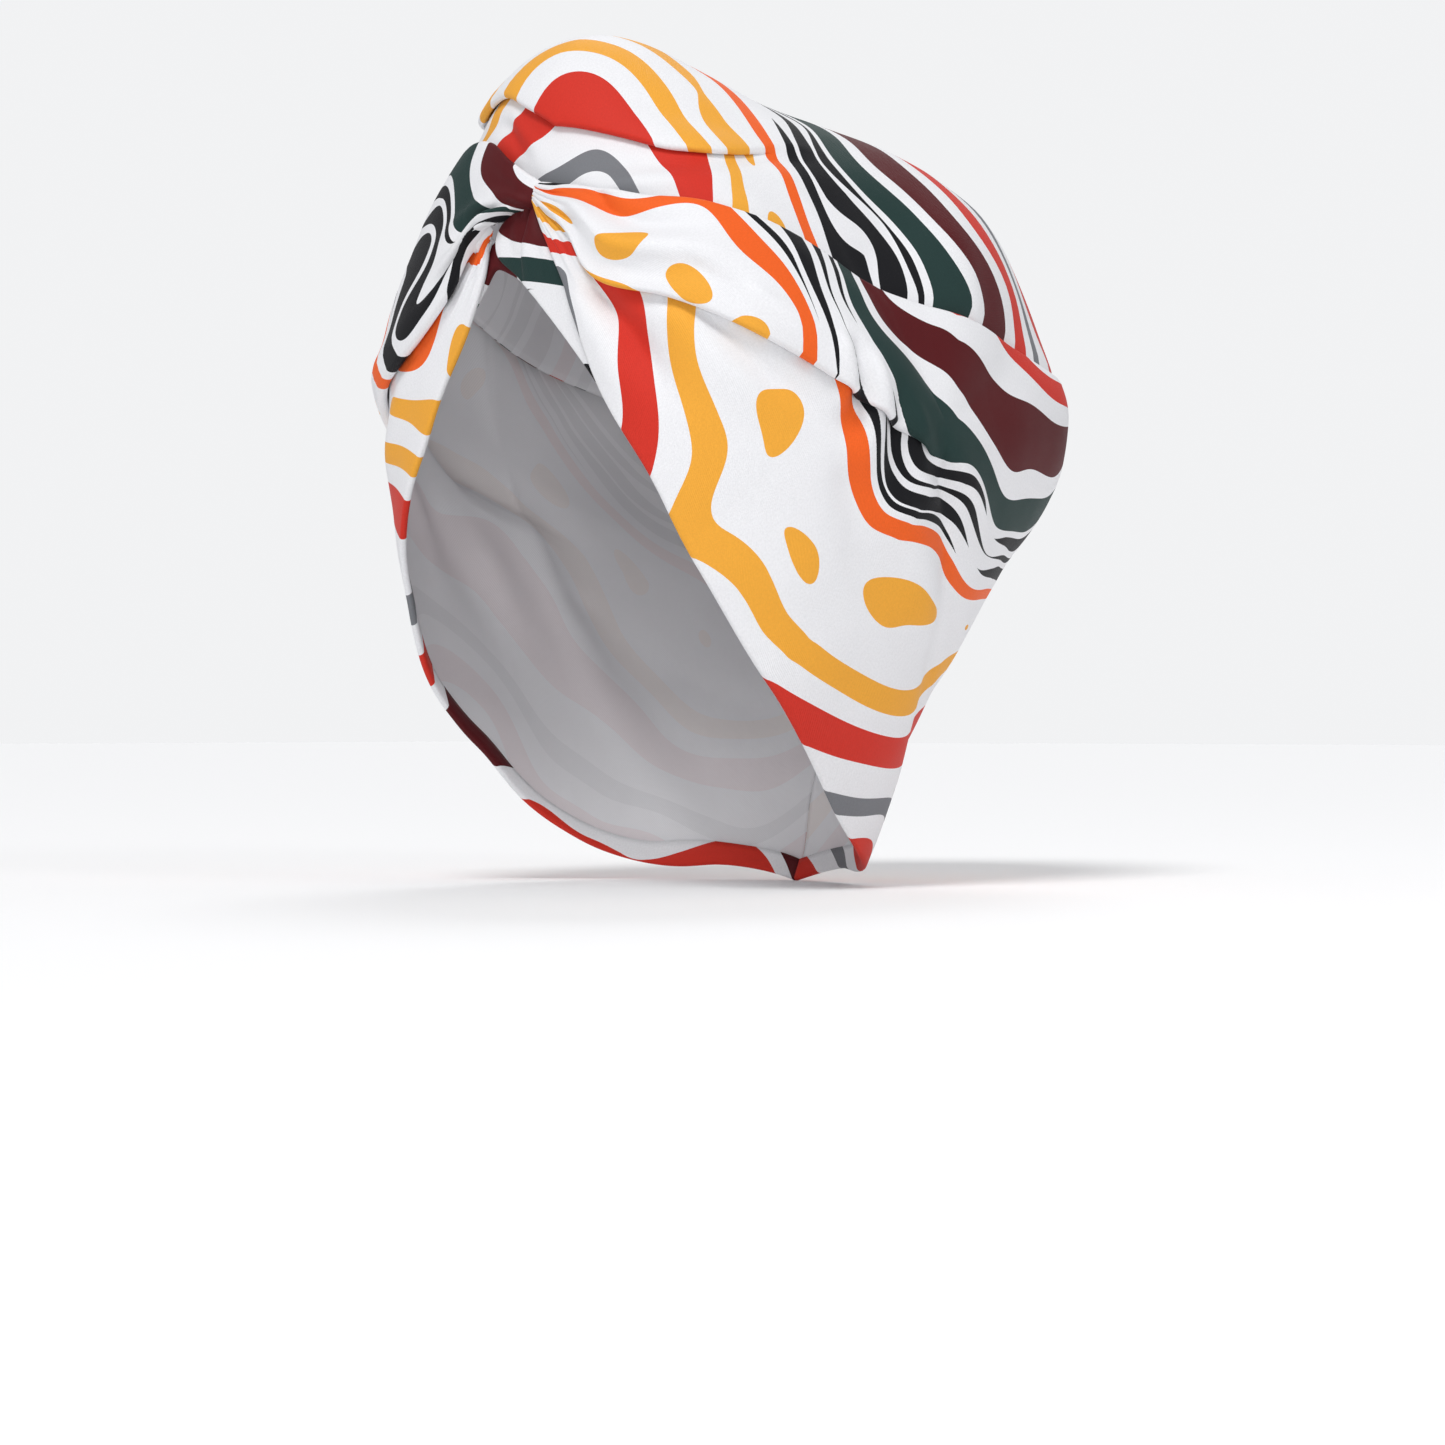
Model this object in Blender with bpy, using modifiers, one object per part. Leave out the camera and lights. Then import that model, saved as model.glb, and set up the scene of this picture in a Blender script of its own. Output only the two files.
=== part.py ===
import math

import bmesh
import bpy
import numpy as np

# Turban headwrap, worn: a cap of cloth over the crown, a wide pleated drape on each side that runs
# from a twist above the forehead to the nape, and two short folds of cloth at the twist.
# Metres, +Z up, the wearer faces -Y, the wearer's left is +X. The origin is where the top of the
# head touches the cap from inside.

# Driving sizes
HALF_WIDTH = 0.086       # middle of the head to the cloth at the temple
REACH = 0.100            # middle of the head to the cloth, the measure of the profile below
HEAD_MIDDLE_DEPTH = 0.1024
CLOTH = 0.0012           # wall of one layer
AIR_GAP = 0.0003         # between one layer and the next
LAYER = CLOTH + AIR_GAP
TUCK = 0.008             # how far a lower layer runs on under the one above
EDGE_TUCK = 0.009        # how far the cap's edge runs on under the drapes
CAP_RISE_FROM = 0.032    # a drape rises over the cap's edge between these two
CAP_RISE_TO = 0.012      # distances below it
FOLD_ROUND = 0.0008      # half-width of a folded edge
SEAM_HALF_GAP = 0.0002   # the two drapes meet at the centre back
PLEAT_SLACK = 0.005      # half-length of cloth that a pleat takes where it has run out
SMALLEST_SQUARENESS = 1.6

# Folded edges are fuller than the cloth behind them: height, distance from the fold, spread
FOLD_FULLNESS = (0.0015, 0.006, 0.007)
EDGE_FULLNESS = (0.0008, 0.006, 0.006)
ARCH_FULLNESS = (0.0016, 0.012, 0.014)
ARCH_SINKS_WITHIN = (0.002, 0.015)    # the cap below the arch pleat, from the fold
OVER_FOLD_FULLNESS = 0.0008

# Where each pleat laps and stands up, as shares of the way from the twist to the centre back
PLEAT_LAPS_FROM, PLEAT_LAPS_TO = (0.03, 0.10), (0.44, 0.58)
PLEAT_STANDS_FROM, PLEAT_STANDS_TO = (0.00, 0.05), (0.56, 0.72)
LEFT_ARCH_LAPS_TO, LEFT_ARCH_STANDS_TO = (0.16, 0.28), (0.20, 0.40)
RIGHT_ARCH_LAPS_TO, RIGHT_ARCH_STANDS_TO = (0.30, 0.42), (0.40, 0.56)
FULL_FROM = (0.02, 0.12)
GATHERED_END = (0.0, 0.12)

# Directions from the middle of the head are a longitude from the front towards the wearer's left
# and a latitude, both in degrees.
TWIST_LONGITUDE, TWIST_LATITUDE = 6.0, 40.5
APEX_LONGITUDE, APEX_LATITUDE = 180.0, 72.0
GATHER_LONGITUDE, GATHER_LATITUDE = 7.0, 36.0
GATHER_PULL = 0.55

# The cap stands fuller over the wearer's right brow: direction, height, spread in radians
CREST_LONGITUDE, CREST_LATITUDE = -38.0, 63.0
CREST_HEIGHT = 0.007
CREST_SPREAD = 0.36
CREST_ENDS_WITHIN = (0.86, 0.97)      # shares of the way from the apex to the cap's edge
CREST_ABOVE_FOLD = 0.4                # share of the crest that only the upper layer has

# The worn form. Columns: angle from the forehead over the top and down the back, reach as a share
# of REACH, squareness of the form from side to side.
PROFILE = (
    (0, 0.87, 2.8),
    (35, 1.01, 2.55),
    (62, 1.24, 1.62),
    (90, 1.02, 1.9),
    (120, 1.03, 2.5),
    (150, 1.21, 2.0),
    (180, 1.10, 2.6),
    (210, 0.99, 2.1),
    (235, 1.00, 2.1),
    (246, 1.15, 1.85),
    (251, 1.31, 1.65),
    (256, 1.45, 1.6),
    (260, 1.62, 1.6),
    (290, 1.45, 2.1),
    (325, 1.02, 2.5),
)

# The drapes. Columns: share of the way from the twist to the centre back, then the longitude and
# latitude of the lower edge, of the pleat and of the upper edge.
LEFT_LINES = (
    (0.00, 5.5, 38.2, 4.5, 39.2, 3.5, 41.0),
    (0.06, 12, 30, 16, 32, 18, 38.7),
    (0.12, 17, 22, 23, 24.5, 29, 36.4),
    (0.20, 22.5, 8, 36, 20.5, 42, 35.2),
    (0.32, 32, -8, 54, 13, 60, 33),
    (0.45, 40, -23, 74, 3, 80, 27),
    (0.58, 54, -41, 94, -8, 100, 21.5),
    (0.72, 80, -61, 118, -21, 120, 16.5),
    (0.86, 125, -70.5, 149, -32, 148, 8),
    (1.00, 180, -73.2, 180, -36, 180, 4),
)
RIGHT_LINES = (
    (0.00, -7.5, 33.2, -6.5, 35.4, 8, 40),
    (0.06, -8, 27, -10.5, 30, -3, 44),
    (0.12, -11, 19.5, -15, 24.5, -11, 46.8),
    (0.20, -17, 10.5, -24, 17, -22, 47),
    (0.32, -25, -3, -38, 10, -38, 42),
    (0.45, -37, -19, -58, 1, -60, 36),
    (0.58, -52, -40, -82, -9, -85, 28),
    (0.72, -80, -61, -114, -22, -112, 19),
    (0.86, -125, -70.5, -149, -32, -146, 9),
    (1.00, -180, -73.2, -180, -36, -180, 4),
)

# How many layers each drape lies above the form. Columns: share of the way from the twist to the
# centre back, then the layers below the lower edge, below the line of the pleat, below the top.
LEFT_LEVELS = (
    (0.00, 2.0, 2.0, 2.0),
    (0.12, 2.0, 2.0, 1.8),
    (0.20, 1.2, 1.2, 1.4),
    (0.28, 1.1, 1.1, 1.0),
    (0.42, 0.0, 0.0, 1.0),
    (1.00, 0.0, 0.0, 1.0),
)
RIGHT_LEVELS = (
    (0.00, 0.0, 3.0, 3.0),
    (0.06, 0.0, 1.2, 2.6),
    (0.12, 0.0, 0.0, 1.6),
    (0.20, 0.0, 0.0, 1.2),
    (0.32, 0.0, 0.0, 1.0),
    (1.00, 0.0, 0.0, 1.0),
)

# The arch pleat of the cap, as a share of the way from the apex to the cap's edge. Columns: share
# of the way round from the twist to the centre back, the pleat's place on the left, on the right.
ARCH = (
    (0.00, 0.865, 0.865),
    (0.08, 0.855, 0.87),
    (0.14, 0.84, 0.875),
    (0.18, 0.81, 0.88),
    (0.24, 0.72, 0.87),
    (0.36, 0.58, 0.70),
    (0.50, 0.50, 0.56),
    (1.00, 0.50, 0.50),
)

# The short folds at the twist. Columns: share of the length, longitude and latitude of the edge
# at the face, longitude and latitude of the edge hidden under the cloth above.
OVER_FOLD_LINES = (
    (0.00, 2, 39.2, 6, 39.6),
    (0.14, -4.2, 35.4, 8.5, 36.8),
    (0.28, -4, 31.2, 12, 33.4),
    (0.44, 3, 26.8, 16.5, 28),
    (0.62, 11, 20, 20, 21),
    (0.80, 18, 12.5, 25, 12.5),
    (1.00, 24.5, 4, 30, 3.5),
)
UNDER_FOLD_LINES = (
    (0.00, 19, 14, 23, 17),
    (0.22, 12, 19.2, 17, 24),
    (0.44, 4.5, 25.2, 9, 30.5),
    (0.62, -1.5, 28.4, 0, 33),
    (0.76, -6.5, 29.2, -6.5, 33.5),
    (0.88, -9.2, 25.6, -12, 29),
    (1.00, -12, 22, -17, 24.5),
)

# Printed cloth: the print's mean colour on each piece
CLOTH_COLOURS = {
    "crown": (0.78, 0.50, 0.30),
    "left_drape": (0.70, 0.30, 0.18),
    "right_drape": (0.62, 0.48, 0.42),
    "twist_over_fold": (0.52, 0.54, 0.55),
    "twist_under_fold": (0.80, 0.30, 0.10),
}
ROUGHNESS = 0.62


def ramp(value, start, end):
    """0 up to start, 1 from end on, smooth between."""
    t = np.clip((value - start) / (end - start), 0.0, 1.0)
    return t * t * (3 - 2 * t)


def spline(x, rows, column):
    """A smooth curve through one column of a table whose first column is the knots."""
    table = np.array(rows, float)
    knots, values = table[:, 0], table[:, column]
    slopes = np.gradient(values, knots)
    k = np.clip(np.searchsorted(knots, x, side="right") - 1, 0, len(knots) - 2)
    span = knots[k + 1] - knots[k]
    t = np.clip((x - knots[k]) / span, 0.0, 1.0)
    return (
        (2 * t**3 - 3 * t**2 + 1) * values[k]
        + (t**3 - 2 * t**2 + t) * slopes[k] * span
        + (3 * t**2 - 2 * t**3) * values[k + 1]
        + (t**3 - t**2) * slopes[k + 1] * span
    )


def direction(longitude, latitude):
    lon, lat = np.radians(longitude), np.radians(latitude)
    parts = (np.cos(lat) * np.sin(lon), -np.cos(lat) * np.cos(lon), np.sin(lat))
    return np.stack(np.broadcast_arrays(*parts), axis=-1)


def unit(vectors):
    return vectors / np.linalg.norm(vectors, axis=-1, keepdims=True)


def mix(a, b, share):
    return unit(a + (b - a) * np.asarray(share)[..., None])


PROFILE_ROUND = [(a - 360, r, s) for a, r, s in PROFILE]
PROFILE_ROUND += list(PROFILE) + [(a + 360, r, s) for a, r, s in PROFILE]


def on_form(d):
    """The point of the worn form in direction d from the middle of the head."""
    angle = np.mod(np.degrees(np.arctan2(d[..., 2], -d[..., 1])), 360)
    reach = REACH * spline(angle, PROFILE_ROUND, 1)
    squareness = np.maximum(spline(angle, PROFILE_ROUND, 2), SMALLEST_SQUARENESS)
    across = np.abs(d[..., 0]) / HALF_WIDTH
    along = np.hypot(d[..., 1], d[..., 2]) / reach
    size = (across**squareness + along**squareness + 1e-9) ** (-1 / squareness)
    return d * size[..., None]


def lifted(d, lift):
    """The form's point in direction d, moved out along the form's normal."""
    helper = np.where(np.abs(d[..., :1]) < 0.7, (1.0, 0.0, 0.0), (0.0, 1.0, 0.0))
    side = unit(np.cross(d, helper))
    up = np.cross(d, side)
    step = 0.01
    a = on_form(unit(d + side * step)) - on_form(unit(d - side * step))
    b = on_form(unit(d + up * step)) - on_form(unit(d - up * step))
    normal = unit(np.cross(a, b))
    outward = np.sign(np.sum(normal * d, axis=-1, keepdims=True))
    return on_form(d) + normal * outward * np.asarray(lift)[..., None]


def arc(a, b):
    """Length over the form from direction a to direction b."""
    points = [on_form(mix(a, b, np.full(a.shape[:-1], k / 8))) for k in range(9)]
    return sum(np.linalg.norm(q - p, axis=-1) for p, q in zip(points, points[1:]))


def bump(distance, width):
    return np.exp(-((distance / width) ** 2))


def fullness(distance, sizes):
    high, at, spread = sizes
    return high * bump(distance - at, spread)


# How a pleat lies. Columns: place across in a full pleat as a share of the tuck, the same in folded
# edges, place where the pleat has run out as a share of its slack, share of the pleat's height.
PLEAT_ROWS = (
    (1.0, 0.0, -1.00, 0.00),
    (1.0, 1.0, -0.66, 0.25),
    (1.0, 0.0, -0.33, 0.50),
    (0.5, 0.0, 0.00, 0.50),
    (0.0, 0.0, 0.33, 0.50),
    (0.0, -1.0, 0.66, 0.75),
    (0.0, 0.0, 1.00, 1.00),
)
PLEAT_COUNT = len(PLEAT_ROWS)
PLEAT_LAYERS = 2.0


def pleated(row, before, after, length_before, length_after, overlap):
    """Place across the cloth, in metres from the pleat's line, and the share of the pleat's height.
    Rows run from one edge to the pleat, through it, and on to the other edge."""
    tuck = np.minimum(TUCK, 0.45 * length_after)
    slack = np.minimum(PLEAT_SLACK, 0.3 * np.minimum(length_before, length_after))
    place = np.zeros(np.broadcast(row, length_before).shape)
    height = np.zeros(place.shape)
    marks = []
    for by_tuck, by_edge, by_slack, _ in PLEAT_ROWS:
        folded = by_tuck * tuck + by_edge * FOLD_ROUND
        marks.append(overlap * folded + (1 - overlap) * by_slack * slack)
    for k in range(before):
        hit = row == k
        place = np.where(hit, -length_before + k / before * (length_before + marks[0]), place)
    for k, mark in enumerate(marks):
        hit = row == before + k
        place = np.where(hit, mark, place)
        height = np.where(hit, PLEAT_ROWS[k][3], height)
    for k in range(1, after + 1):
        hit = row == before + PLEAT_COUNT - 1 + k
        place = np.where(hit, marks[-1] + k / after * (length_after - marks[-1]), place)
        height = np.where(hit, 1.0, height)
    return place, height


def fan(v):
    """Columns lie closer together near the twist, where the folds are narrow."""
    return v**1.35


def drape(row, v, lines, levels, before, after, side):
    """One side's drape: from the lower edge (row 0), through the pleat, to the upper edge."""
    low = direction(spline(v, lines, 1), spline(v, lines, 2))
    line = direction(spline(v, lines, 3), spline(v, lines, 4))
    top = direction(spline(v, lines, 5), spline(v, lines, 6))
    length_low, length_top = arc(low, line), arc(line, top)
    overlap = ramp(v, *PLEAT_LAPS_FROM) * (1 - ramp(v, *PLEAT_LAPS_TO))
    depth = ramp(v, *PLEAT_STANDS_FROM) * (1 - ramp(v, *PLEAT_STANDS_TO))
    place, height = pleated(row, before, after, length_low, length_top, overlap)
    below = mix(low, line, np.clip(1 + place / length_low, 0, 1))
    above = mix(line, top, np.clip(place / length_top, 0, 1))
    d = np.where((place < 0)[..., None], below, above)
    share_up = np.clip(place / length_top, 0, 1)
    if side < 0:
        # The gathered end of the band bows down into the twist.
        bow = (1 - ramp(v, *GATHERED_END)) * np.sin(np.pi * share_up) * ramp(share_up, 0.3, 0.8)
        d = mix(d, direction(GATHER_LONGITUDE, GATHER_LATITUDE), GATHER_PULL * bow)
    knots = [row_of[0] for row_of in levels]
    edge_level, line_level, top_level = (
        np.interp(v, knots, [row_of[k] for row_of in levels]) for k in (1, 2, 3)
    )
    at_line = edge_level if side < 0 else line_level
    lower = edge_level + (at_line - edge_level) * np.clip(1 + place / length_low, 0, 1)
    upper = line_level + PLEAT_LAYERS * depth
    level = lower + (upper - lower) * height
    rise = np.where(height == 1, ramp(share_up, 0.2, 0.95), 0)
    level = level + (top_level - level) * rise
    cap_starts = length_top - EDGE_TUCK
    over_cap = ramp(place, cap_starts - CAP_RISE_FROM, cap_starts - CAP_RISE_TO)
    level = np.where(height == 1, np.maximum(level, over_cap), level)
    full = fullness(place, FOLD_FULLNESS) * depth * (height == 1)
    full = full + fullness(length_top - place, EDGE_FULLNESS)
    points = lifted(d, level * LAYER + full * ramp(v, *FULL_FROM))
    points[..., 0] += side * SEAM_HALF_GAP
    return points


def cap_edge(turn):
    """The direction of the cap's edge: turn runs from -1 (centre back) by the wearer's right,
    0 (twist) and the left to 1 (centre back)."""
    v = np.abs(turn)
    left = direction(spline(v, LEFT_LINES, 5), spline(v, LEFT_LINES, 6))
    right = direction(spline(v, RIGHT_LINES, 5), spline(v, RIGHT_LINES, 6))
    edge = np.where((turn > 0)[..., None], left, right)
    twist = direction(TWIST_LONGITUDE, TWIST_LATITUDE)
    return mix(np.broadcast_to(twist, edge.shape), edge, ramp(v, 0.0, 0.05))


def cap(row, turn, before, after):
    """The cap, in rings from the apex (row 0), through the arch pleat, to the tucked edge."""
    v = np.abs(turn)
    apex = np.broadcast_to(direction(APEX_LONGITUDE, APEX_LATITUDE), v.shape + (3,))
    edge = cap_edge(turn)
    angle = np.arccos(np.clip(np.sum(apex * edge, axis=-1), -1, 1))
    arch = np.where(turn > 0, spline(v, ARCH, 1), spline(v, ARCH, 2))
    whole = arc(apex, edge)
    length_in, length_out = arch * whole, (1 - arch) * whole + EDGE_TUCK
    laps = np.where(turn > 0, ramp(v, *LEFT_ARCH_LAPS_TO), ramp(v, *RIGHT_ARCH_LAPS_TO))
    stands = np.where(turn > 0, ramp(v, *LEFT_ARCH_STANDS_TO), ramp(v, *RIGHT_ARCH_STANDS_TO))
    overlap, depth = 1 - laps, 1 - stands
    # Counted from the tucked edge, so that the layer by the apex comes out on top.
    last = before + after + PLEAT_COUNT - 1
    place, height = pleated(last - row, after, before, length_out, length_in, overlap)
    share = np.clip((length_in - place) / whole, 0, 1.3)
    turned = share * angle
    across = unit(edge - apex * np.cos(angle)[..., None])
    d = apex * np.cos(turned)[..., None] + across * np.sin(turned)[..., None]
    sunk = (height - 1) * PLEAT_LAYERS * depth * (1 - ramp(-place, *ARCH_SINKS_WITHIN))
    full = fullness(place, ARCH_FULLNESS) * depth * (height == 1)
    towards_crest = np.sum(unit(d) * direction(CREST_LONGITUDE, CREST_LATITUDE), axis=-1)
    crest = CREST_HEIGHT * bump(np.arccos(np.clip(towards_crest, -1, 1)), CREST_SPREAD)
    crest = crest * (1 - CREST_ABOVE_FOLD * (1 - height)) * (1 - ramp(share, *CREST_ENDS_WITHIN))
    return lifted(unit(d), sunk * LAYER + full + crest)


def short_fold(u, v, lines, levels, high):
    """A fold from its face edge (u = 0) to its hidden edge, its level going from the first of
    levels to the second along it, with its first part high by that much."""
    near = direction(spline(v, lines, 1), spline(v, lines, 2))
    far = direction(spline(v, lines, 3), spline(v, lines, 4))
    level = levels[0] + (levels[1] - levels[0]) * ramp(v, 0.28, 0.55)
    full = high * np.sin(np.pi * np.clip(u * 1.6, 0, 1)) * (1 - ramp(v, 0.3, 0.6))
    return lifted(mix(near, far, u), level * LAYER + full)


def finish(obj, name, points):
    """Moves the mesh's vertices to the points, below the origin, and gives it a wall and a colour."""
    obj.name = obj.data.name = name
    points = points - np.array((0.0, 0.0, HEAD_MIDDLE_DEPTH))
    obj.data.vertices.foreach_set("co", points.astype(np.float32).ravel())
    obj.data.update()
    wall = obj.modifiers.new("wall", "SOLIDIFY")
    wall.thickness = CLOTH
    wall.offset = 0.0
    obj.data.shade_smooth()
    material = bpy.data.materials.new("printed_cloth_" + name)
    material.use_nodes = True
    shader = material.node_tree.nodes["Principled BSDF"]
    shader.inputs["Base Color"].default_value = (*CLOTH_COLOURS[name], 1.0)
    shader.inputs["Roughness"].default_value = ROUGHNESS
    shader.inputs["Metallic"].default_value = 0.0
    obj.data.materials.append(material)
    for collection in list(obj.users_collection):
        collection.objects.unlink(obj)
    headwrap.objects.link(obj)


def flat_sheet(rows, columns):
    """A flat grid, with each vertex's row number and its share of the way along."""
    bpy.ops.mesh.primitive_grid_add(x_subdivisions=columns, y_subdivisions=rows, size=2)
    obj = bpy.context.object
    at = np.zeros(len(obj.data.vertices) * 3)
    obj.data.vertices.foreach_get("co", at)
    at = at.reshape(-1, 3)
    return obj, np.rint((at[:, 1] + 1) / 2 * rows), (at[:, 0] + 1) / 2


def turned_out(obj):
    """Turns the faces over if they look at the middle of the head."""
    centre = np.array((0.0, 0.0, -HEAD_MIDDLE_DEPTH))
    looks = sum((np.array(p.center) - centre) @ np.array(p.normal) for p in obj.data.polygons)
    if looks < 0:
        obj.data.flip_normals()


def build_drape(name, lines, levels, side):
    before, after, columns = 7, 7, 34
    obj, row, share = flat_sheet(before + after + PLEAT_COUNT - 1, columns)
    finish(obj, name, drape(row, fan(share), lines, levels, before, after, side))
    turned_out(obj)


def build_cap(name):
    before, after, segments = 8, 4, 44
    last = before + after + PLEAT_COUNT - 1
    rings = 2 * last + 2
    ball = bmesh.new()
    bmesh.ops.create_uvsphere(ball, u_segments=segments, v_segments=rings, radius=1)
    lower = [v for v in ball.verts if v.co.z < math.sin(math.pi / rings) / 2]
    bmesh.ops.delete(ball, geom=lower, context="VERTS")
    mesh = bpy.data.meshes.new(name)
    ball.to_mesh(mesh)
    ball.free()
    obj = bpy.data.objects.new(name, mesh)
    bpy.context.scene.collection.objects.link(obj)
    at = np.array([vertex.co for vertex in obj.data.vertices])
    polar = np.arccos(np.clip(at[:, 2], -1, 1))
    row = np.rint(polar / math.pi * rings)
    turn = np.arctan2(at[:, 0], -at[:, 1]) / math.pi
    finish(obj, name, cap(row, turn, before, after))
    turned_out(obj)


def build_short_fold(name, lines, levels, high):
    rows, columns = 6, 18
    obj, row, share = flat_sheet(rows, columns)
    finish(obj, name, short_fold(row / rows, share, lines, levels, high))
    turned_out(obj)


for old in list(bpy.data.objects):
    bpy.data.objects.remove(old)

headwrap = bpy.data.collections.new("turban_headwrap")
bpy.context.scene.collection.children.link(headwrap)

build_cap("crown")
build_drape("left_drape", LEFT_LINES, LEFT_LEVELS, 1)
build_drape("right_drape", RIGHT_LINES, RIGHT_LEVELS, -1)
build_short_fold("twist_over_fold", OVER_FOLD_LINES, (1.0, 0.0), OVER_FOLD_FULLNESS)
build_short_fold("twist_under_fold", UNDER_FOLD_LINES, (-1.0, -1.0), 0.0)
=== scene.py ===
import math

import bmesh
import bpy
import numpy as np
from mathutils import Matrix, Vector, noise


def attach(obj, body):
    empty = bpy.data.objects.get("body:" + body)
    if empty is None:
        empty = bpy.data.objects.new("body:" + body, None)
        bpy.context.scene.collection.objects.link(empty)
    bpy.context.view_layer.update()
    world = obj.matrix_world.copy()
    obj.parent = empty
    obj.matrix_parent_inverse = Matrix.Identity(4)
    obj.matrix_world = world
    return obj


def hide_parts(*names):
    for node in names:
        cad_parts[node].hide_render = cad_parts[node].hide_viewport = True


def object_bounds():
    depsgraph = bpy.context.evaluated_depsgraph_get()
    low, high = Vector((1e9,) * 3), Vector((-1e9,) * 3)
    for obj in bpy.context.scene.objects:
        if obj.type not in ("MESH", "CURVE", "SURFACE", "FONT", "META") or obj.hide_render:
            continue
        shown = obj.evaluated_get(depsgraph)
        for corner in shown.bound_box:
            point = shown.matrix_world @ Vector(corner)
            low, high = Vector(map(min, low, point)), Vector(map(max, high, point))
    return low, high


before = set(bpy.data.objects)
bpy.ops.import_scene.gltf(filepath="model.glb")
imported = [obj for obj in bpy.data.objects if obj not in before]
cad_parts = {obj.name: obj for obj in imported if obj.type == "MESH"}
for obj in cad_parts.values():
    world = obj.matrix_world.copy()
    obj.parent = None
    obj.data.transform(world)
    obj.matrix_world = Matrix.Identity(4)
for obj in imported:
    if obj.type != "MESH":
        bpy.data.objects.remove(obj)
cad_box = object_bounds()


# The view and the studio
# The headwrap is seen from the wearer's left front, from a little above the floor, on a plain pale
# floor in soft light. Metres, +Z up, the wearer faces -Y and the wearer's left is +X.
VIEW_AZIMUTH = math.radians(42)
VIEW_DISTANCE = 1.3
VIEW_WIDTH = 0.4335          # what the frame takes in at that distance
VIEW_ASIDE = 0.00345
VIEW_HEIGHT = -0.1858
SENSOR_WIDTH = 36.0          # millimetres
FLOOR_GAP = 0.0006
FLOOR_SIZE = 14.0
FLOOR_COLOUR, FLOOR_ROUGHNESS = (0.96, 0.96, 0.965), 0.8
ROOM_COLOUR, ROOM_LIGHT = (0.97, 0.98, 1.0), 0.46
ROOM_SEEN = (0.885, 0.89, 0.90)
LAMPS_LOOK_AT = (0.0, 0.0, -0.1)
WIDE_LIGHT_SPREAD = math.radians(20)
# Columns: lamp, azimuth (counted as the camera's is), elevation, distance, size, watts. One
# without a size is a wide light from that side of the room, in watts on a square metre.
LAMPS = (
    ("ceiling", 22, 54, 2.0, 0, 1.6),
    ("key_lamp", 82, 32, 1.5, 0.35, 2.4),
    ("front_lamp", 36, -4, 1.8, 0.9, 5),
    ("back_lamp", 215, 45, 1.8, 0, 0.5),
)

camera_data = bpy.data.cameras.new("camera")
camera_data.sensor_width = SENSOR_WIDTH
camera_data.lens = SENSOR_WIDTH * VIEW_DISTANCE / VIEW_WIDTH
camera = bpy.data.objects.new("camera", camera_data)
camera.location = (
    VIEW_DISTANCE * math.sin(VIEW_AZIMUTH) + VIEW_ASIDE * math.cos(VIEW_AZIMUTH),
    -VIEW_DISTANCE * math.cos(VIEW_AZIMUTH) + VIEW_ASIDE * math.sin(VIEW_AZIMUTH),
    VIEW_HEIGHT,
)
camera.rotation_euler = (math.pi / 2, 0, VIEW_AZIMUTH)
bpy.context.scene.collection.objects.link(camera)
bpy.context.scene.camera = camera
bpy.context.scene.view_settings.view_transform = "Standard"

pale = bpy.data.materials.new("pale_floor")
pale.use_nodes = True
pale_shader = pale.node_tree.nodes["Principled BSDF"]
pale_shader.inputs["Base Color"].default_value = (*FLOOR_COLOUR, 1)
pale_shader.inputs["Roughness"].default_value = FLOOR_ROUGHNESS

floor_mesh = bpy.data.meshes.new("floor")
floor_shape = bmesh.new()
bmesh.ops.create_grid(floor_shape, x_segments=1, y_segments=1, size=FLOOR_SIZE / 2)
bmesh.ops.translate(floor_shape, verts=floor_shape.verts, vec=(0, 0, cad_box[0].z - FLOOR_GAP))
floor_shape.to_mesh(floor_mesh)
floor_shape.free()
floor = bpy.data.objects.new("floor", floor_mesh)
floor_mesh.materials.append(pale)
bpy.context.scene.collection.objects.link(floor)

# The room lights the cloth evenly from all round, and the camera sees it as pale as the floor.
world = bpy.data.worlds.new("soft_room")
world.use_nodes = True
room = world.node_tree
lights = room.nodes["Background"]
lights.inputs["Color"].default_value = (*ROOM_COLOUR, 1)
lights.inputs["Strength"].default_value = ROOM_LIGHT
seen = room.nodes.new("ShaderNodeBackground")
seen.inputs["Color"].default_value = (*ROOM_SEEN, 1)
which = room.nodes.new("ShaderNodeMixShader")
room.links.new(room.nodes.new("ShaderNodeLightPath").outputs["Is Camera Ray"], which.inputs[0])
room.links.new(lights.outputs[0], which.inputs[1])
room.links.new(seen.outputs[0], which.inputs[2])
room.links.new(which.outputs[0], room.nodes["World Output"].inputs["Surface"])
bpy.context.scene.world = world


def soft_lamp(name, azimuth, elevation, distance, size, watts):
    """A square lamp that looks at the wrap or, without a size, a wide light from that side."""
    data = bpy.data.lights.new(name, "AREA" if size else "SUN")
    if size:
        data.size = size
    else:
        data.angle = WIDE_LIGHT_SPREAD
    data.energy = watts
    lamp = bpy.data.objects.new(name, data)
    a, e = math.radians(azimuth), math.radians(elevation)
    towards = Vector((math.sin(a) * math.cos(e), -math.cos(a) * math.cos(e), math.sin(e)))
    lamp.location = Vector(LAMPS_LOOK_AT) + towards * distance
    lamp.rotation_euler = towards.to_track_quat("Z", "Y").to_euler()
    bpy.context.scene.collection.objects.link(lamp)


for lamp_row in LAMPS:
    soft_lamp(*lamp_row)


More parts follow.
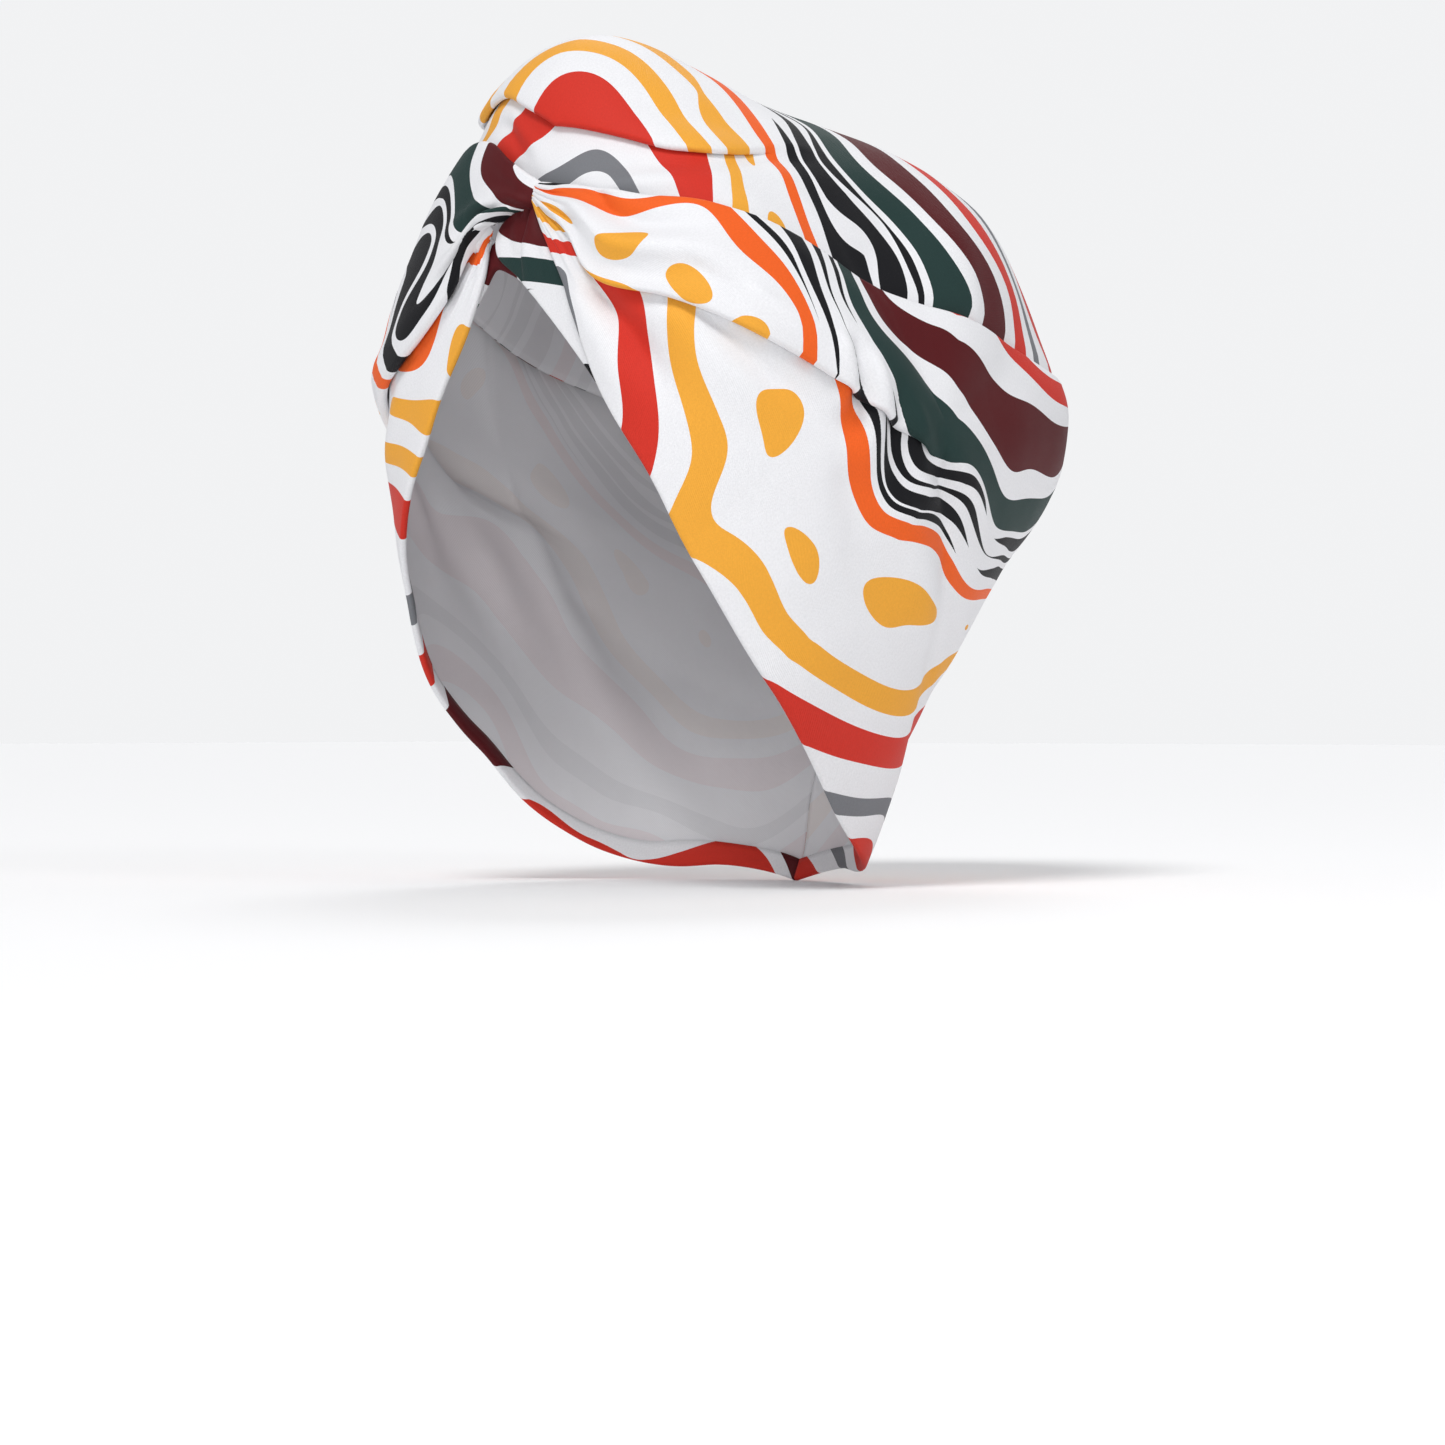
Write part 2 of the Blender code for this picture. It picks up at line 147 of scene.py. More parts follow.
# The cloth
# All of the wrap is of one light twill, printed on its face with bold waves of colour and groups of
# black flames on white. The print goes through to the reverse only as a faint ghost.
RED = (0.60, 0.031, 0.018)
AMBER = (0.82, 0.375, 0.042)
ORANGE = (0.82, 0.118, 0.015)
DARK_GREEN = (0.015, 0.038, 0.035)
MAROON = (0.086, 0.006, 0.008)
GREY = (0.18, 0.185, 0.20)
GROUND = (0.80, 0.80, 0.82)
BLACK = (0.006, 0.006, 0.008)

PRINT_REPEAT = 0.205         # one full run of the stripes, across them
WAVES = 8.5                  # the fineness of a noise, per metre of cloth, here and below
WAVES_NEST = 0.45            # the same across the stripes, as a share of that along them
WAVES_SLICE = 0.37
RIPPLES, RIPPLE_SHARE = 24.0, 0.16         # small bends on the waves, as a share of them
# Columns: where a stripe starts and ends as a share of the repeat, and its ink
STRIPES = (
    (0.015, 0.095, RED),
    (0.150, 0.205, AMBER),
    (0.380, 0.415, ORANGE),
    (0.590, 0.655, DARK_GREEN),
    (0.690, 0.765, MAROON),
    (0.805, 0.865, RED),
    (0.910, 0.945, GREY),
)
DROPS_FROM, DROPS_TO = 0.225, 0.360        # amber drops on white, between two stripes
FLAMES_FROM, FLAMES_TO = 0.430, 0.575
FLAME_ROWS = 20.0            # in a whole repeat
FLAME_ROW_BENDS = 0.8        # how far a row bends with the ripples, in rows
FLAME_ROW_STEP = 0.71        # from one row to the next in the noise of their lengths
FLAME_LENGTHS = 26.0
FLAME_SWELL, FLAME_RUNS_OUT, FLAME_WIDEST = 2.9, -0.95, 0.86     # width in half rows
DROP_CLOTS, DROP_THRESHOLD = 46.0, 0.48
INK_GRAIN, INK_UNEVENNESS = 1500.0, 0.22
RIB_WIDTH = 0.0006
RIB_SLANT, YARNS_ON_RIB = 0.55, 2.6
FUZZ = 2600.0
RIB_RELIEF, YARN_RELIEF, FUZZ_RELIEF = 0.36, 0.12, 0.35          # shares of WEAVE_DEPTH
WEAVE_STRENGTH, WEAVE_DEPTH = 0.22, 0.0002
RUBS, SMOOTHEST, RUB_ROUGHENS = 45.0, 0.52, 0.16
GLOSS, SHEEN, SHEEN_ROUGHNESS = 0.16, 0.03, 0.45
GHOST = 0.09                 # how strongly the ink shows on the reverse


def new_group(name, inputs, outputs):
    """An empty shader group. Inputs and outputs are (name, kind) pairs."""
    tree = bpy.data.node_groups.new(name, "ShaderNodeTree")
    for socket, kind in inputs:
        tree.interface.new_socket(socket, in_out="INPUT", socket_type="NodeSocket" + kind)
    for socket, kind in outputs:
        tree.interface.new_socket(socket, in_out="OUTPUT", socket_type="NodeSocket" + kind)
    return tree, tree.nodes.new("NodeGroupInput"), tree.nodes.new("NodeGroupOutput")


def add_node(tree, kind, settings=(), **inputs):
    """A node with its settings and inputs. An input is a value or the socket that feeds it, and
    its name has _ for a space, or in_NUMBER where names repeat."""
    made = tree.nodes.new("ShaderNode" + kind)
    for name, value in dict(settings).items():
        setattr(made, name, value)
    for name, value in inputs.items():
        key = int(name[3:]) if name.startswith("in_") else name.replace("_", " ")
        if isinstance(value, bpy.types.NodeSocket):
            tree.links.new(value, made.inputs[key])
        else:
            made.inputs[key].default_value = value
    return made


def maths(tree, operation, *values):
    """The result of a Math node on up to three values or sockets."""
    inputs = {f"in_{k}": value for k, value in enumerate(values)}
    return add_node(tree, "Math", {"operation": operation}, **inputs).outputs[0]


def laid_over(tree, share, below, above, blend="MIX"):
    """The colour below with the colour above laid over it, as far as share says."""
    settings = {"data_type": "RGBA", "blend_type": blend}
    return add_node(tree, "Mix", settings, in_0=share, in_6=below, in_7=above).outputs[2]


def build_wave_print():
    """Stripes that run along the cloth in long waves, with drops of ink between two of them and
    rows of flames between two others."""
    tree, given, out = new_group(
        "wave_print", (("Cloth", "Vector"), ("Wander", "Float")), (("Colour", "Color"),)
    )
    cloth = given.outputs["Cloth"]
    parts = add_node(tree, "SeparateXYZ", Vector=cloth)
    across, along = parts.outputs["X"], parts.outputs["Y"]
    # The waves hardly change from one stripe to the next, so that they nest.
    held = maths(tree, "MULTIPLY", across, WAVES_NEST)
    drawn_out = add_node(tree, "CombineXYZ", X=held, Y=along, Z=WAVES_SLICE).outputs[0]
    wide = add_node(tree, "TexNoise", Vector=drawn_out, Scale=WAVES, Detail=0.6, Roughness=0.4)
    near = add_node(tree, "TexNoise", Vector=cloth, Scale=RIPPLES, Detail=0.0)
    bend = maths(tree, "SUBTRACT", wide.outputs[0], 0.5)
    ripple = maths(tree, "SUBTRACT", near.outputs[0], 0.5)
    bend = maths(tree, "MULTIPLY_ADD", ripple, RIPPLE_SHARE, bend)
    place = maths(tree, "MULTIPLY", across, 1 / PRINT_REPEAT)
    place = maths(tree, "MULTIPLY_ADD", bend, given.outputs["Wander"], place)
    share = maths(tree, "FRACT", place)

    # The ramp's alpha is 0 where flames stand, a half where drops do and 1 elsewhere.
    stripes = add_node(tree, "ValToRGB", Fac=share)
    ramp_of_inks = stripes.color_ramp
    ramp_of_inks.interpolation = "CONSTANT"
    stops = [(0.0, GROUND, 1.0)]
    for start, end, ink in STRIPES:
        stops.append((start, ink, 1.0))
        stops.append((end, GROUND, 1.0))
    stops.append((DROPS_FROM, GROUND, 0.5))
    stops.append((DROPS_TO, GROUND, 1.0))
    stops.append((FLAMES_FROM, GROUND, 0.0))
    stops.append((FLAMES_TO, GROUND, 1.0))
    stops.sort(key=lambda stop: stop[0])
    ramp_of_inks.elements.remove(ramp_of_inks.elements[1])
    for k, (position, colour, alpha) in enumerate(stops):
        stop = ramp_of_inks.elements[0] if k == 0 else ramp_of_inks.elements.new(position)
        stop.position = position
        stop.color = (*colour, alpha)
    alpha = stripes.outputs["Alpha"]

    # A flame is a line along the stripes that swells and runs out, each row in its own places.
    rows = maths(tree, "MULTIPLY", place, FLAME_ROWS)
    rows = maths(tree, "MULTIPLY_ADD", ripple, FLAME_ROW_BENDS, rows)
    lick = maths(tree, "FRACT", rows)
    from_line = maths(tree, "ABSOLUTE", maths(tree, "MULTIPLY_ADD", lick, 2.0, -1.0))
    own_row = maths(tree, "MULTIPLY", maths(tree, "FLOOR", rows), FLAME_ROW_STEP)
    beside = add_node(tree, "CombineXYZ", X=own_row, Y=along, Z=0.0).outputs[0]
    swell = add_node(tree, "TexNoise", Vector=beside, Scale=FLAME_LENGTHS, Detail=0.0)
    width = maths(tree, "MULTIPLY_ADD", swell.outputs[0], FLAME_SWELL, FLAME_RUNS_OUT)
    width = maths(tree, "MINIMUM", width, FLAME_WIDEST)
    flame = maths(tree, "LESS_THAN", from_line, width)
    flame = maths(tree, "MULTIPLY", flame, maths(tree, "LESS_THAN", alpha, 0.25))
    inked = laid_over(tree, flame, stripes.outputs[0], (*BLACK, 1))

    # A drop lies free in its white stripe, never cut by the stripe's border.
    halfway = (DROPS_FROM + DROPS_TO) / 2
    off_middle = maths(tree, "ABSOLUTE", maths(tree, "SUBTRACT", share, halfway))
    off_middle = maths(tree, "MULTIPLY", off_middle, 2 / (DROPS_TO - DROPS_FROM))
    inside = maths(tree, "SUBTRACT", 1.0, maths(tree, "MULTIPLY", off_middle, off_middle))
    clots = add_node(tree, "TexNoise", Vector=cloth, Scale=DROP_CLOTS, Detail=0.0)
    drop = maths(tree, "MULTIPLY", inside, clots.outputs[0])
    drop = maths(tree, "GREATER_THAN", drop, DROP_THRESHOLD)
    drop = maths(tree, "MULTIPLY", drop, maths(tree, "COMPARE", alpha, 0.5, 0.2))
    inked = laid_over(tree, drop, inked, (*AMBER, 1))

    # Ink takes a little unevenly on the yarns.
    grain = add_node(tree, "TexNoise", Vector=cloth, Scale=INK_GRAIN, Detail=2.0, Roughness=0.7)
    took = maths(tree, "MULTIPLY_ADD", grain.outputs[0], INK_UNEVENNESS, 1 - INK_UNEVENNESS / 2)
    toned = laid_over(tree, 1.0, inked, took, "MULTIPLY")
    tree.links.new(toned, out.inputs["Colour"])
    return tree


def build_twill():
    """The fine diagonal ribs of the weave and the yarns that cross them."""
    tree, given, out = new_group(
        "twill",
        (("Cloth", "Vector"), ("Ribs per metre", "Float")),
        (("Height", "Float"), ("Roughness", "Float")),
    )
    cloth, ribs = given.outputs["Cloth"], given.outputs["Ribs per metre"]
    parts = add_node(tree, "SeparateXYZ", Vector=cloth)
    x, y = parts.outputs["X"], parts.outputs["Y"]
    slant = maths(tree, "MULTIPLY_ADD", y, RIB_SLANT, x)
    rib = maths(tree, "MULTIPLY", maths(tree, "MULTIPLY", slant, ribs), math.tau)
    rib = maths(tree, "SINE", rib)
    yarn = maths(tree, "MULTIPLY", maths(tree, "MULTIPLY", y, ribs), YARNS_ON_RIB * math.tau)
    yarn = maths(tree, "SINE", yarn)
    fuzz = add_node(tree, "TexNoise", Vector=cloth, Scale=FUZZ, Detail=2.0)
    height = maths(tree, "MULTIPLY", rib, RIB_RELIEF)
    height = maths(tree, "MULTIPLY_ADD", yarn, YARN_RELIEF, height)
    height = maths(tree, "MULTIPLY_ADD", fuzz.outputs[0], FUZZ_RELIEF, height)
    rub = add_node(tree, "TexNoise", Vector=cloth, Scale=RUBS, Detail=3.0)
    roughness = maths(tree, "MULTIPLY_ADD", rub.outputs[0], RUB_ROUGHENS, SMOOTHEST)
    tree.links.new(height, out.inputs["Height"])
    tree.links.new(roughness, out.inputs["Roughness"])
    return tree


WAVE_PRINT = build_wave_print()
TWILL = build_twill()


def cloth_material(name, turn, shift, wander, ghost=1.0):
    """Printed twill. Turn and shift lay the print on the piece, wander is how far its stripes
    stray, in repeats, and ghost is how strongly the ink shows."""
    material = bpy.data.materials.new(name)
    material.use_nodes = True
    tree = material.node_tree
    shader = tree.nodes["Principled BSDF"]
    laid = add_node(tree, "UVMap", {"uv_map": "cloth"})
    around = (0, 0, math.radians(turn))
    cut = add_node(tree, "Mapping", Vector=laid.outputs[0], Location=(*shift, 0), Rotation=around)
    inks = add_node(tree, "Group", {"node_tree": WAVE_PRINT}, Cloth=cut.outputs[0], Wander=wander)
    weave = add_node(
        tree, "Group", {"node_tree": TWILL}, Cloth=laid.outputs[0], Ribs_per_metre=1 / RIB_WIDTH
    )
    shown = laid_over(tree, ghost, (*GROUND, 1), inks.outputs[0])
    tree.links.new(shown, shader.inputs["Base Color"])
    relief = add_node(
        tree, "Bump", Height=weave.outputs["Height"], Strength=WEAVE_STRENGTH, Distance=WEAVE_DEPTH
    )
    tree.links.new(relief.outputs[0], shader.inputs["Normal"])
    tree.links.new(weave.outputs["Roughness"], shader.inputs["Roughness"])
    shader.inputs["Specular IOR Level"].default_value = GLOSS
    shader.inputs["Sheen Weight"].default_value = SHEEN
    shader.inputs["Sheen Roughness"].default_value = SHEEN_ROUGHNESS
    return material


# The right drape
# The band on the wearer's right: gathered into the twist above the forehead, one deep pleat along
# it, its upper edge folded over the cap, its lower edge turned in, down to the nape.
MIDDLE = (0.0, 0.0, -0.1024)               # the middle of the hollow, from the origin
HALF_WIDTH = 0.086           # from the middle to the cloth at the temple
REACH = 0.100                # from the middle to the cloth, the measure of the profile below
CLOTH = 0.0009               # one layer
LAYER = 0.0015               # one layer and the air above it
TUCK, TUCK_AT_MOST = 0.008, 0.45           # a lower layer runs on under the one above
PLEAT_LAYERS = 2.0
PLEAT_SLACK, SLACK_AT_MOST = 0.005, 0.3    # half of what a pleat takes where it has run out
FOLD_ROUND = 0.0009          # half-width of a folded edge
EDGE_ROUND = 0.0006          # the same of a turned-in edge
EDGE_TURNED, TURNED_AT_MOST = 0.004, 0.25  # cloth turned in along an edge; each AT_MOST is a
                                           # share of the strip's own width
SEAM_HALF_GAP = 0.00005
TURNED_ROWS, EDGE_ROWS = 3, 5              # rows of the grid in a turned-in edge and round it
TUCK_ROWS, FOLD_ROWS, FACE_FOLD_ROWS, LAP_ROWS = 4, 4, 6, 3      # the same in a pleat
LOWER_ROWS, UPPER_ROWS = 52, 44            # the same on the drape's two flat stretches
NORMAL_STEP = 0.01           # radians between the points that a normal is taken from
ARC_STEPS = 8
EDGE_TUCK = 0.009            # how far the cap's edge runs on under the drapes
CAP_RISE_FROM = 0.032        # a drape rises over the cap's edge between these two
CAP_RISE_TO = 0.012          # distances below it
SMALLEST_SQUARENESS = 1.6
FOLD_FULLNESS = (0.0015, 0.006, 0.007)     # height, distance from the fold, spread
EDGE_FULLNESS = (0.0008, 0.006, 0.006)
PLEAT_LAPS_FROM, PLEAT_LAPS_TO = (0.03, 0.10), (0.44, 0.58)
PLEAT_STANDS_FROM, PLEAT_STANDS_TO = (0.00, 0.05), (0.56, 0.72)
FULL_FROM = (0.02, 0.12)
UPPER_RISES_WITHIN = (0.2, 0.95)           # shares of the upper stretch, as BOWED_WITHIN
GATHERED_END, BOWED_WITHIN = (0.0, 0.12), (0.3, 0.8)
PULLED_TO_LONGITUDE, PULLED_TO_LATITUDE, PULL = 7.0, 36.0, 0.55
DRAPE_COLUMNS, COLUMNS_CROWD = 280, 1.35   # the columns crowd towards the twist
DRAPE_WIDTH = 0.190          # the cloth of one drape, smoothed out flat
FANNED_WITHIN = (0.0, 0.42)  # the gathers fan out between these shares of the way back
FANNED_OUT = 0.5             # share of the gathered width that shows
RELIEF_FROM_TWIST = (0.0, 0.02)
# A gather: its shift among its neighbours, how far it strays, its width, length and height, and
# where along it it starts to fade.
GATHER_SHIFT, GATHER_STRAYS = (0.25, 0.75), 0.10
GATHER_WIDTH, GATHER_LENGTH, GATHER_HEIGHT = (0.22, 0.42), (0.35, 1.0), (0.5, 1.0)
GATHER_FADES_FROM = 0.25
# A crease: its width at the start, how much wider it grows, and where it rises and fades.
CREASE_STARTS, CREASE_GROWS = 0.6, 0.8
CREASE_RISES, CREASE_FADES = (-0.05, 0.2), (0.55, 1.1)
# Columns: height of the unevenness that all the cloth has, its size over the form, its seed.
UNEVEN = (
    (0.0012, 0.040, 3.0),
    (0.0005, 0.017, 11.0),
)
EVEN_AT_TWIST = (0.02, 0.20)

# The worn form. Columns: angle from the forehead over the top and down the back, reach as a share
# of REACH, squareness of the form from side to side.
PROFILE = (
    (0, 0.87, 2.8),
    (35, 1.01, 2.55),
    (62, 1.24, 1.62),
    (90, 1.02, 1.9),
    (120, 1.03, 2.5),
    (150, 1.21, 2.0),
    (180, 1.10, 2.6),
    (210, 0.99, 2.1),
    (235, 1.00, 2.1),
    (246, 1.15, 1.85),
    (251, 1.31, 1.65),
    (256, 1.45, 1.6),
    (260, 1.62, 1.6),
    (290, 1.45, 2.1),
    (325, 1.02, 2.5),
)
PROFILE_ROUND = [(a - 360, r, s) for a, r, s in PROFILE]
PROFILE_ROUND += list(PROFILE) + [(a + 360, r, s) for a, r, s in PROFILE]

# Columns: share of the way from the twist to the centre back, then the longitude and latitude of
# the lower edge, of the pleat and of the upper edge.
RIGHT_LINES = (
    (0.00, -7.5, 33.2, -6.5, 35.4, 8, 40),
    (0.06, -8, 27, -10.5, 30, -3, 44),
    (0.12, -11, 19.5, -15, 24.5, -11, 46.8),
    (0.20, -17, 10.5, -24, 17, -22, 47),
    (0.32, -25, -3, -38, 10, -38, 42),
    (0.45, -37, -19, -58, 1, -60, 36),
    (0.58, -52, -40, -82, -9, -85, 28),
    (0.72, -80, -61, -114, -22, -112, 19),
    (0.86, -125, -70.5, -149, -32, -146, 9),
    (1.00, -180, -73.2, -180, -36, -180, 4),
)
# Columns of each table of creases, in metres: along and across the cloth, from the pleat's line,
# where a crease starts and ends, its width, its height above the cloth or, below 0, its depth.
RIGHT_UPPER_CREASES = (
    (-0.006, 0.0015, 0.036, 0.005, 0.0020, 0.0012),
    (-0.006, 0.0045, 0.042, 0.011, 0.0022, -0.0024),
    (-0.006, 0.0080, 0.034, 0.016, 0.0020, 0.0010),
    (-0.006, 0.0105, 0.026, 0.021, 0.0018, -0.0011),
    (-0.006, 0.0150, 0.044, 0.030, 0.0035, 0.0010),
    (0.060, 0.004, 0.110, 0.010, 0.0060, 0.0009),
)
RIGHT_LOWER_CREASES = (
    (0.050, -0.003, 0.115, -0.030, 0.0055, 0.0017),
    (0.080, -0.004, 0.140, -0.026, 0.0050, -0.0018),
    (0.120, -0.010, 0.185, -0.050, 0.0075, 0.0018),
    (0.150, -0.012, 0.200, -0.062, 0.0070, -0.0017),
    (0.185, -0.016, 0.235, -0.050, 0.0080, 0.0014),
)
# Height, count, seed and reach, as a share of the way, of the gathers out of the twist.
RIGHT_UPPER_GATHERS = (0.0010, 6, 21, 0.22)
RIGHT_LOWER_GATHERS = (0.0012, 4, 5, 0.22)
# The end of the band rolls down into the twist within this share of the way, to this depth.
ROLLED_WITHIN, ROLLED_DOWN = 0.034, 0.0042
# Columns: share of the way, then the layers below the lower edge, the pleat and the upper edge.
RIGHT_LEVELS = (
    (0.00, 0.0, 3.0, 3.0),
    (0.06, 0.0, 1.2, 2.6),
    (0.12, 0.0, 0.0, 1.6),
    (0.20, 0.0, 0.0, 1.2),
    (0.32, 0.0, 0.0, 1.0),
    (1.00, 0.0, 0.0, 1.0),
)
# How the print lies on the piece: its turn, its shift and how far its stripes wander.
RIGHT_PRINT = (8, (0.289, 0.05), 0.85)


def ramp(value, start, end):
    """0 up to start, 1 from end on, smooth between."""
    t = np.clip((value - start) / (end - start), 0.0, 1.0)
    return t * t * (3 - 2 * t)


def spline(x, rows, column):
    """A smooth curve through one column of a table whose first column is the knots."""
    table = np.array(rows, float)
    knots, values = table[:, 0], table[:, column]
    slopes = np.gradient(values, knots)
    k = np.clip(np.searchsorted(knots, x, side="right") - 1, 0, len(knots) - 2)
    span = knots[k + 1] - knots[k]
    t = np.clip((x - knots[k]) / span, 0.0, 1.0)
    return (
        (2 * t**3 - 3 * t**2 + 1) * values[k]
        + (t**3 - 2 * t**2 + t) * slopes[k] * span
        + (3 * t**2 - 2 * t**3) * values[k + 1]
        + (t**3 - t**2) * slopes[k + 1] * span
    )


def direction(longitude, latitude):
    """Unit vectors: longitude 0 looks straight ahead and 90 to the wearer's left."""
    lon, lat = np.radians(longitude), np.radians(latitude)
    parts = (np.cos(lat) * np.sin(lon), -np.cos(lat) * np.cos(lon), np.sin(lat))
    return np.stack(np.broadcast_arrays(*parts), axis=-1)


def unit(vectors):
    return vectors / np.linalg.norm(vectors, axis=-1, keepdims=True)


def mix(a, b, share):
    """The direction that lies at the given share of the way from a to b."""
    return unit(a + (b - a) * np.asarray(share)[..., None])


def on_form(d):
    """The point of the worn form in direction d from its middle."""
    angle = np.mod(np.degrees(np.arctan2(d[..., 2], -d[..., 1])), 360)
    reach = REACH * spline(angle, PROFILE_ROUND, 1)
    squareness = np.maximum(spline(angle, PROFILE_ROUND, 2), SMALLEST_SQUARENESS)
    across = np.abs(d[..., 0]) / HALF_WIDTH
    along = np.hypot(d[..., 1], d[..., 2]) / reach
    size = (across**squareness + along**squareness + 1e-9) ** (-1 / squareness)
    return d * size[..., None]


def lifted(d, lift):
    """The form's point in direction d, moved out along the form's normal."""
    helper = np.where(np.abs(d[..., :1]) < 0.7, (1.0, 0.0, 0.0), (0.0, 1.0, 0.0))
    side = unit(np.cross(d, helper))
    up = np.cross(d, side)
    a = on_form(unit(d + side * NORMAL_STEP)) - on_form(unit(d - side * NORMAL_STEP))
    b = on_form(unit(d + up * NORMAL_STEP)) - on_form(unit(d - up * NORMAL_STEP))
    normal = unit(np.cross(a, b))
    outward = np.sign(np.sum(normal * d, axis=-1, keepdims=True))
    return on_form(d) + normal * outward * np.asarray(lift)[..., None]


def arc(a, b):
    """Length over the form from direction a to direction b."""
    steps = [np.full(a.shape[:-1], k / ARC_STEPS) for k in range(ARC_STEPS + 1)]
    stops = [on_form(mix(a, b, step)) for step in steps]
    return sum(np.linalg.norm(q - p, axis=-1) for p, q in zip(stops, stops[1:]))


def bump(distance, width):
    """1 at no distance, falling off smoothly within about twice the width."""
    return np.exp(-((distance / width) ** 2))


def fullness(distance, sizes):
    """A soft swell of cloth with the height, place and spread of sizes."""
    high, at, spread = sizes
    return high * bump(distance - at, spread)


def half_turn(count):
    """The angles of the rows round a folded edge, without its ends."""
    return [math.pi * k / (count + 1) for k in range(1, count + 1)]


def shares(count, last=False):
    """Shares of a flat stretch, from 0 and, if last, up to and with 1."""
    return [k / (count - last) for k in range(count)]


def cross_section(length_low, length_top, overlap, low_rows, top_rows, turned):
    """The rows of a strip from its lower edge through the pleat to its upper edge, as three lists
    of arrays over the columns: place across from the pleat's line, share of the pleat's height
    and metres below the layer, where an edge is turned in."""
    shorter = np.minimum(length_low, length_top)
    tuck = np.minimum(TUCK, TUCK_AT_MOST * length_top)
    slack = np.minimum(PLEAT_SLACK, SLACK_AT_MOST * shorter)
    inward = np.minimum(EDGE_TURNED, TURNED_AT_MOST * shorter)
    nothing = np.zeros_like(length_low)
    rows = []
    if turned:
        for t in shares(TURNED_ROWS):
            rows.append((-length_low + inward * (1 - t), 0.0, -2 * EDGE_ROUND))
        for a in half_turn(EDGE_ROWS):
            out, down = EDGE_ROUND * math.sin(a), -EDGE_ROUND * (1 + math.cos(a))
            rows.append((-length_low - out, 0.0, down))
    for t in shares(low_rows):
        rows.append((-length_low + t * (length_low - (1 - overlap) * slack), 0.0, 0.0))
    folded = [(t * tuck, 0.0) for t in shares(TUCK_ROWS)]
    for a in half_turn(FOLD_ROWS):
        folded.append((tuck + FOLD_ROUND * math.sin(a), 0.25 * (1 - math.cos(a))))
    folded += [((1 - t) * tuck, 0.5) for t in shares(TUCK_ROWS)]
    for a in half_turn(FACE_FOLD_ROWS):
        folded.append((-FOLD_ROUND * math.sin(a), 0.5 + 0.25 * (1 - math.cos(a))))
    folded += [(t * tuck, 1.0) for t in shares(LAP_ROWS)]
    for k, (place, height) in enumerate(folded):
        q = k / len(folded)
        rows.append((
            overlap * place + (1 - overlap) * slack * (2 * q - 1),
            overlap * height + (1 - overlap) * (q * q * (3 - 2 * q)),
            0.0,
        ))
    start = overlap * tuck + (1 - overlap) * slack
    for t in shares(top_rows, last=True):
        rows.append((start + t * (length_top - start), 1.0, 0.0))
    if turned:
        for a in half_turn(EDGE_ROWS):
            out, down = EDGE_ROUND * math.sin(a), -EDGE_ROUND * (1 - math.cos(a))
            rows.append((length_top + out, 1.0, down))
        for t in shares(TURNED_ROWS):
            rows.append((length_top - inward * t, 1.0, -2 * EDGE_ROUND))
    return [np.array([part + nothing for part in column]) for column in zip(*rows)]


def run_of(points, axis):
    """Length of cloth from the first point on, along one axis of a grid of points."""
    steps = np.linalg.norm(np.diff(points, axis=axis), axis=-1)
    start = np.zeros_like(np.take(steps, [0], axis=axis))
    return np.concatenate([start, np.cumsum(steps, axis=axis)], axis=axis)


def unevenness(d, size, seed):
    """Smooth noise over the form, from about -1 to 1, the same for every layer of cloth there."""
    places = on_form(d).reshape(-1, 3) / size + seed
    return np.array([noise.noise(place) for place in places]).reshape(d.shape[:-1])


def gathers(share, v, full_height, count, seed, reach):
    """Ridges of gathered cloth that run out of the twist, as far as reach at most."""
    rng = np.random.default_rng(seed)
    total = np.zeros(np.broadcast(share, v).shape)
    for k in range(count):
        middle = (k + rng.uniform(*GATHER_SHIFT)) / count
        middle = middle + rng.uniform(-GATHER_STRAYS, GATHER_STRAYS) * v / reach
        width = rng.uniform(*GATHER_WIDTH) / count
        ends = reach * rng.uniform(*GATHER_LENGTH)
        high = rng.uniform(*GATHER_HEIGHT)
        fading = 1 - ramp(v, GATHER_FADES_FROM * ends, ends)
        total = total + high * bump(share - middle, width) * fading
    return full_height * total


def creases(along, place, rows):
    """Ridges and valleys on the cloth. Each row has where one starts and ends, along and across
    in the same measure as the places, its width, which grows along it, and its height."""
    total = np.zeros(np.broadcast(along, place).shape)
    for start_along, start_place, end_along, end_place, width, height in rows:
        run, rise = end_along - start_along, end_place - start_place
        length = math.hypot(run, rise)
        t = ((along - start_along) * run + (place - start_place) * rise) / length**2
        off = ((place - start_place) * run - (along - start_along) * rise) / length
        spread = width * (CREASE_STARTS + CREASE_GROWS * np.clip(t, 0, 1))
        shown = ramp(t, *CREASE_RISES)
        total = total + height * bump(off, spread) * shown * (1 - ramp(t, *CREASE_FADES))
    return total


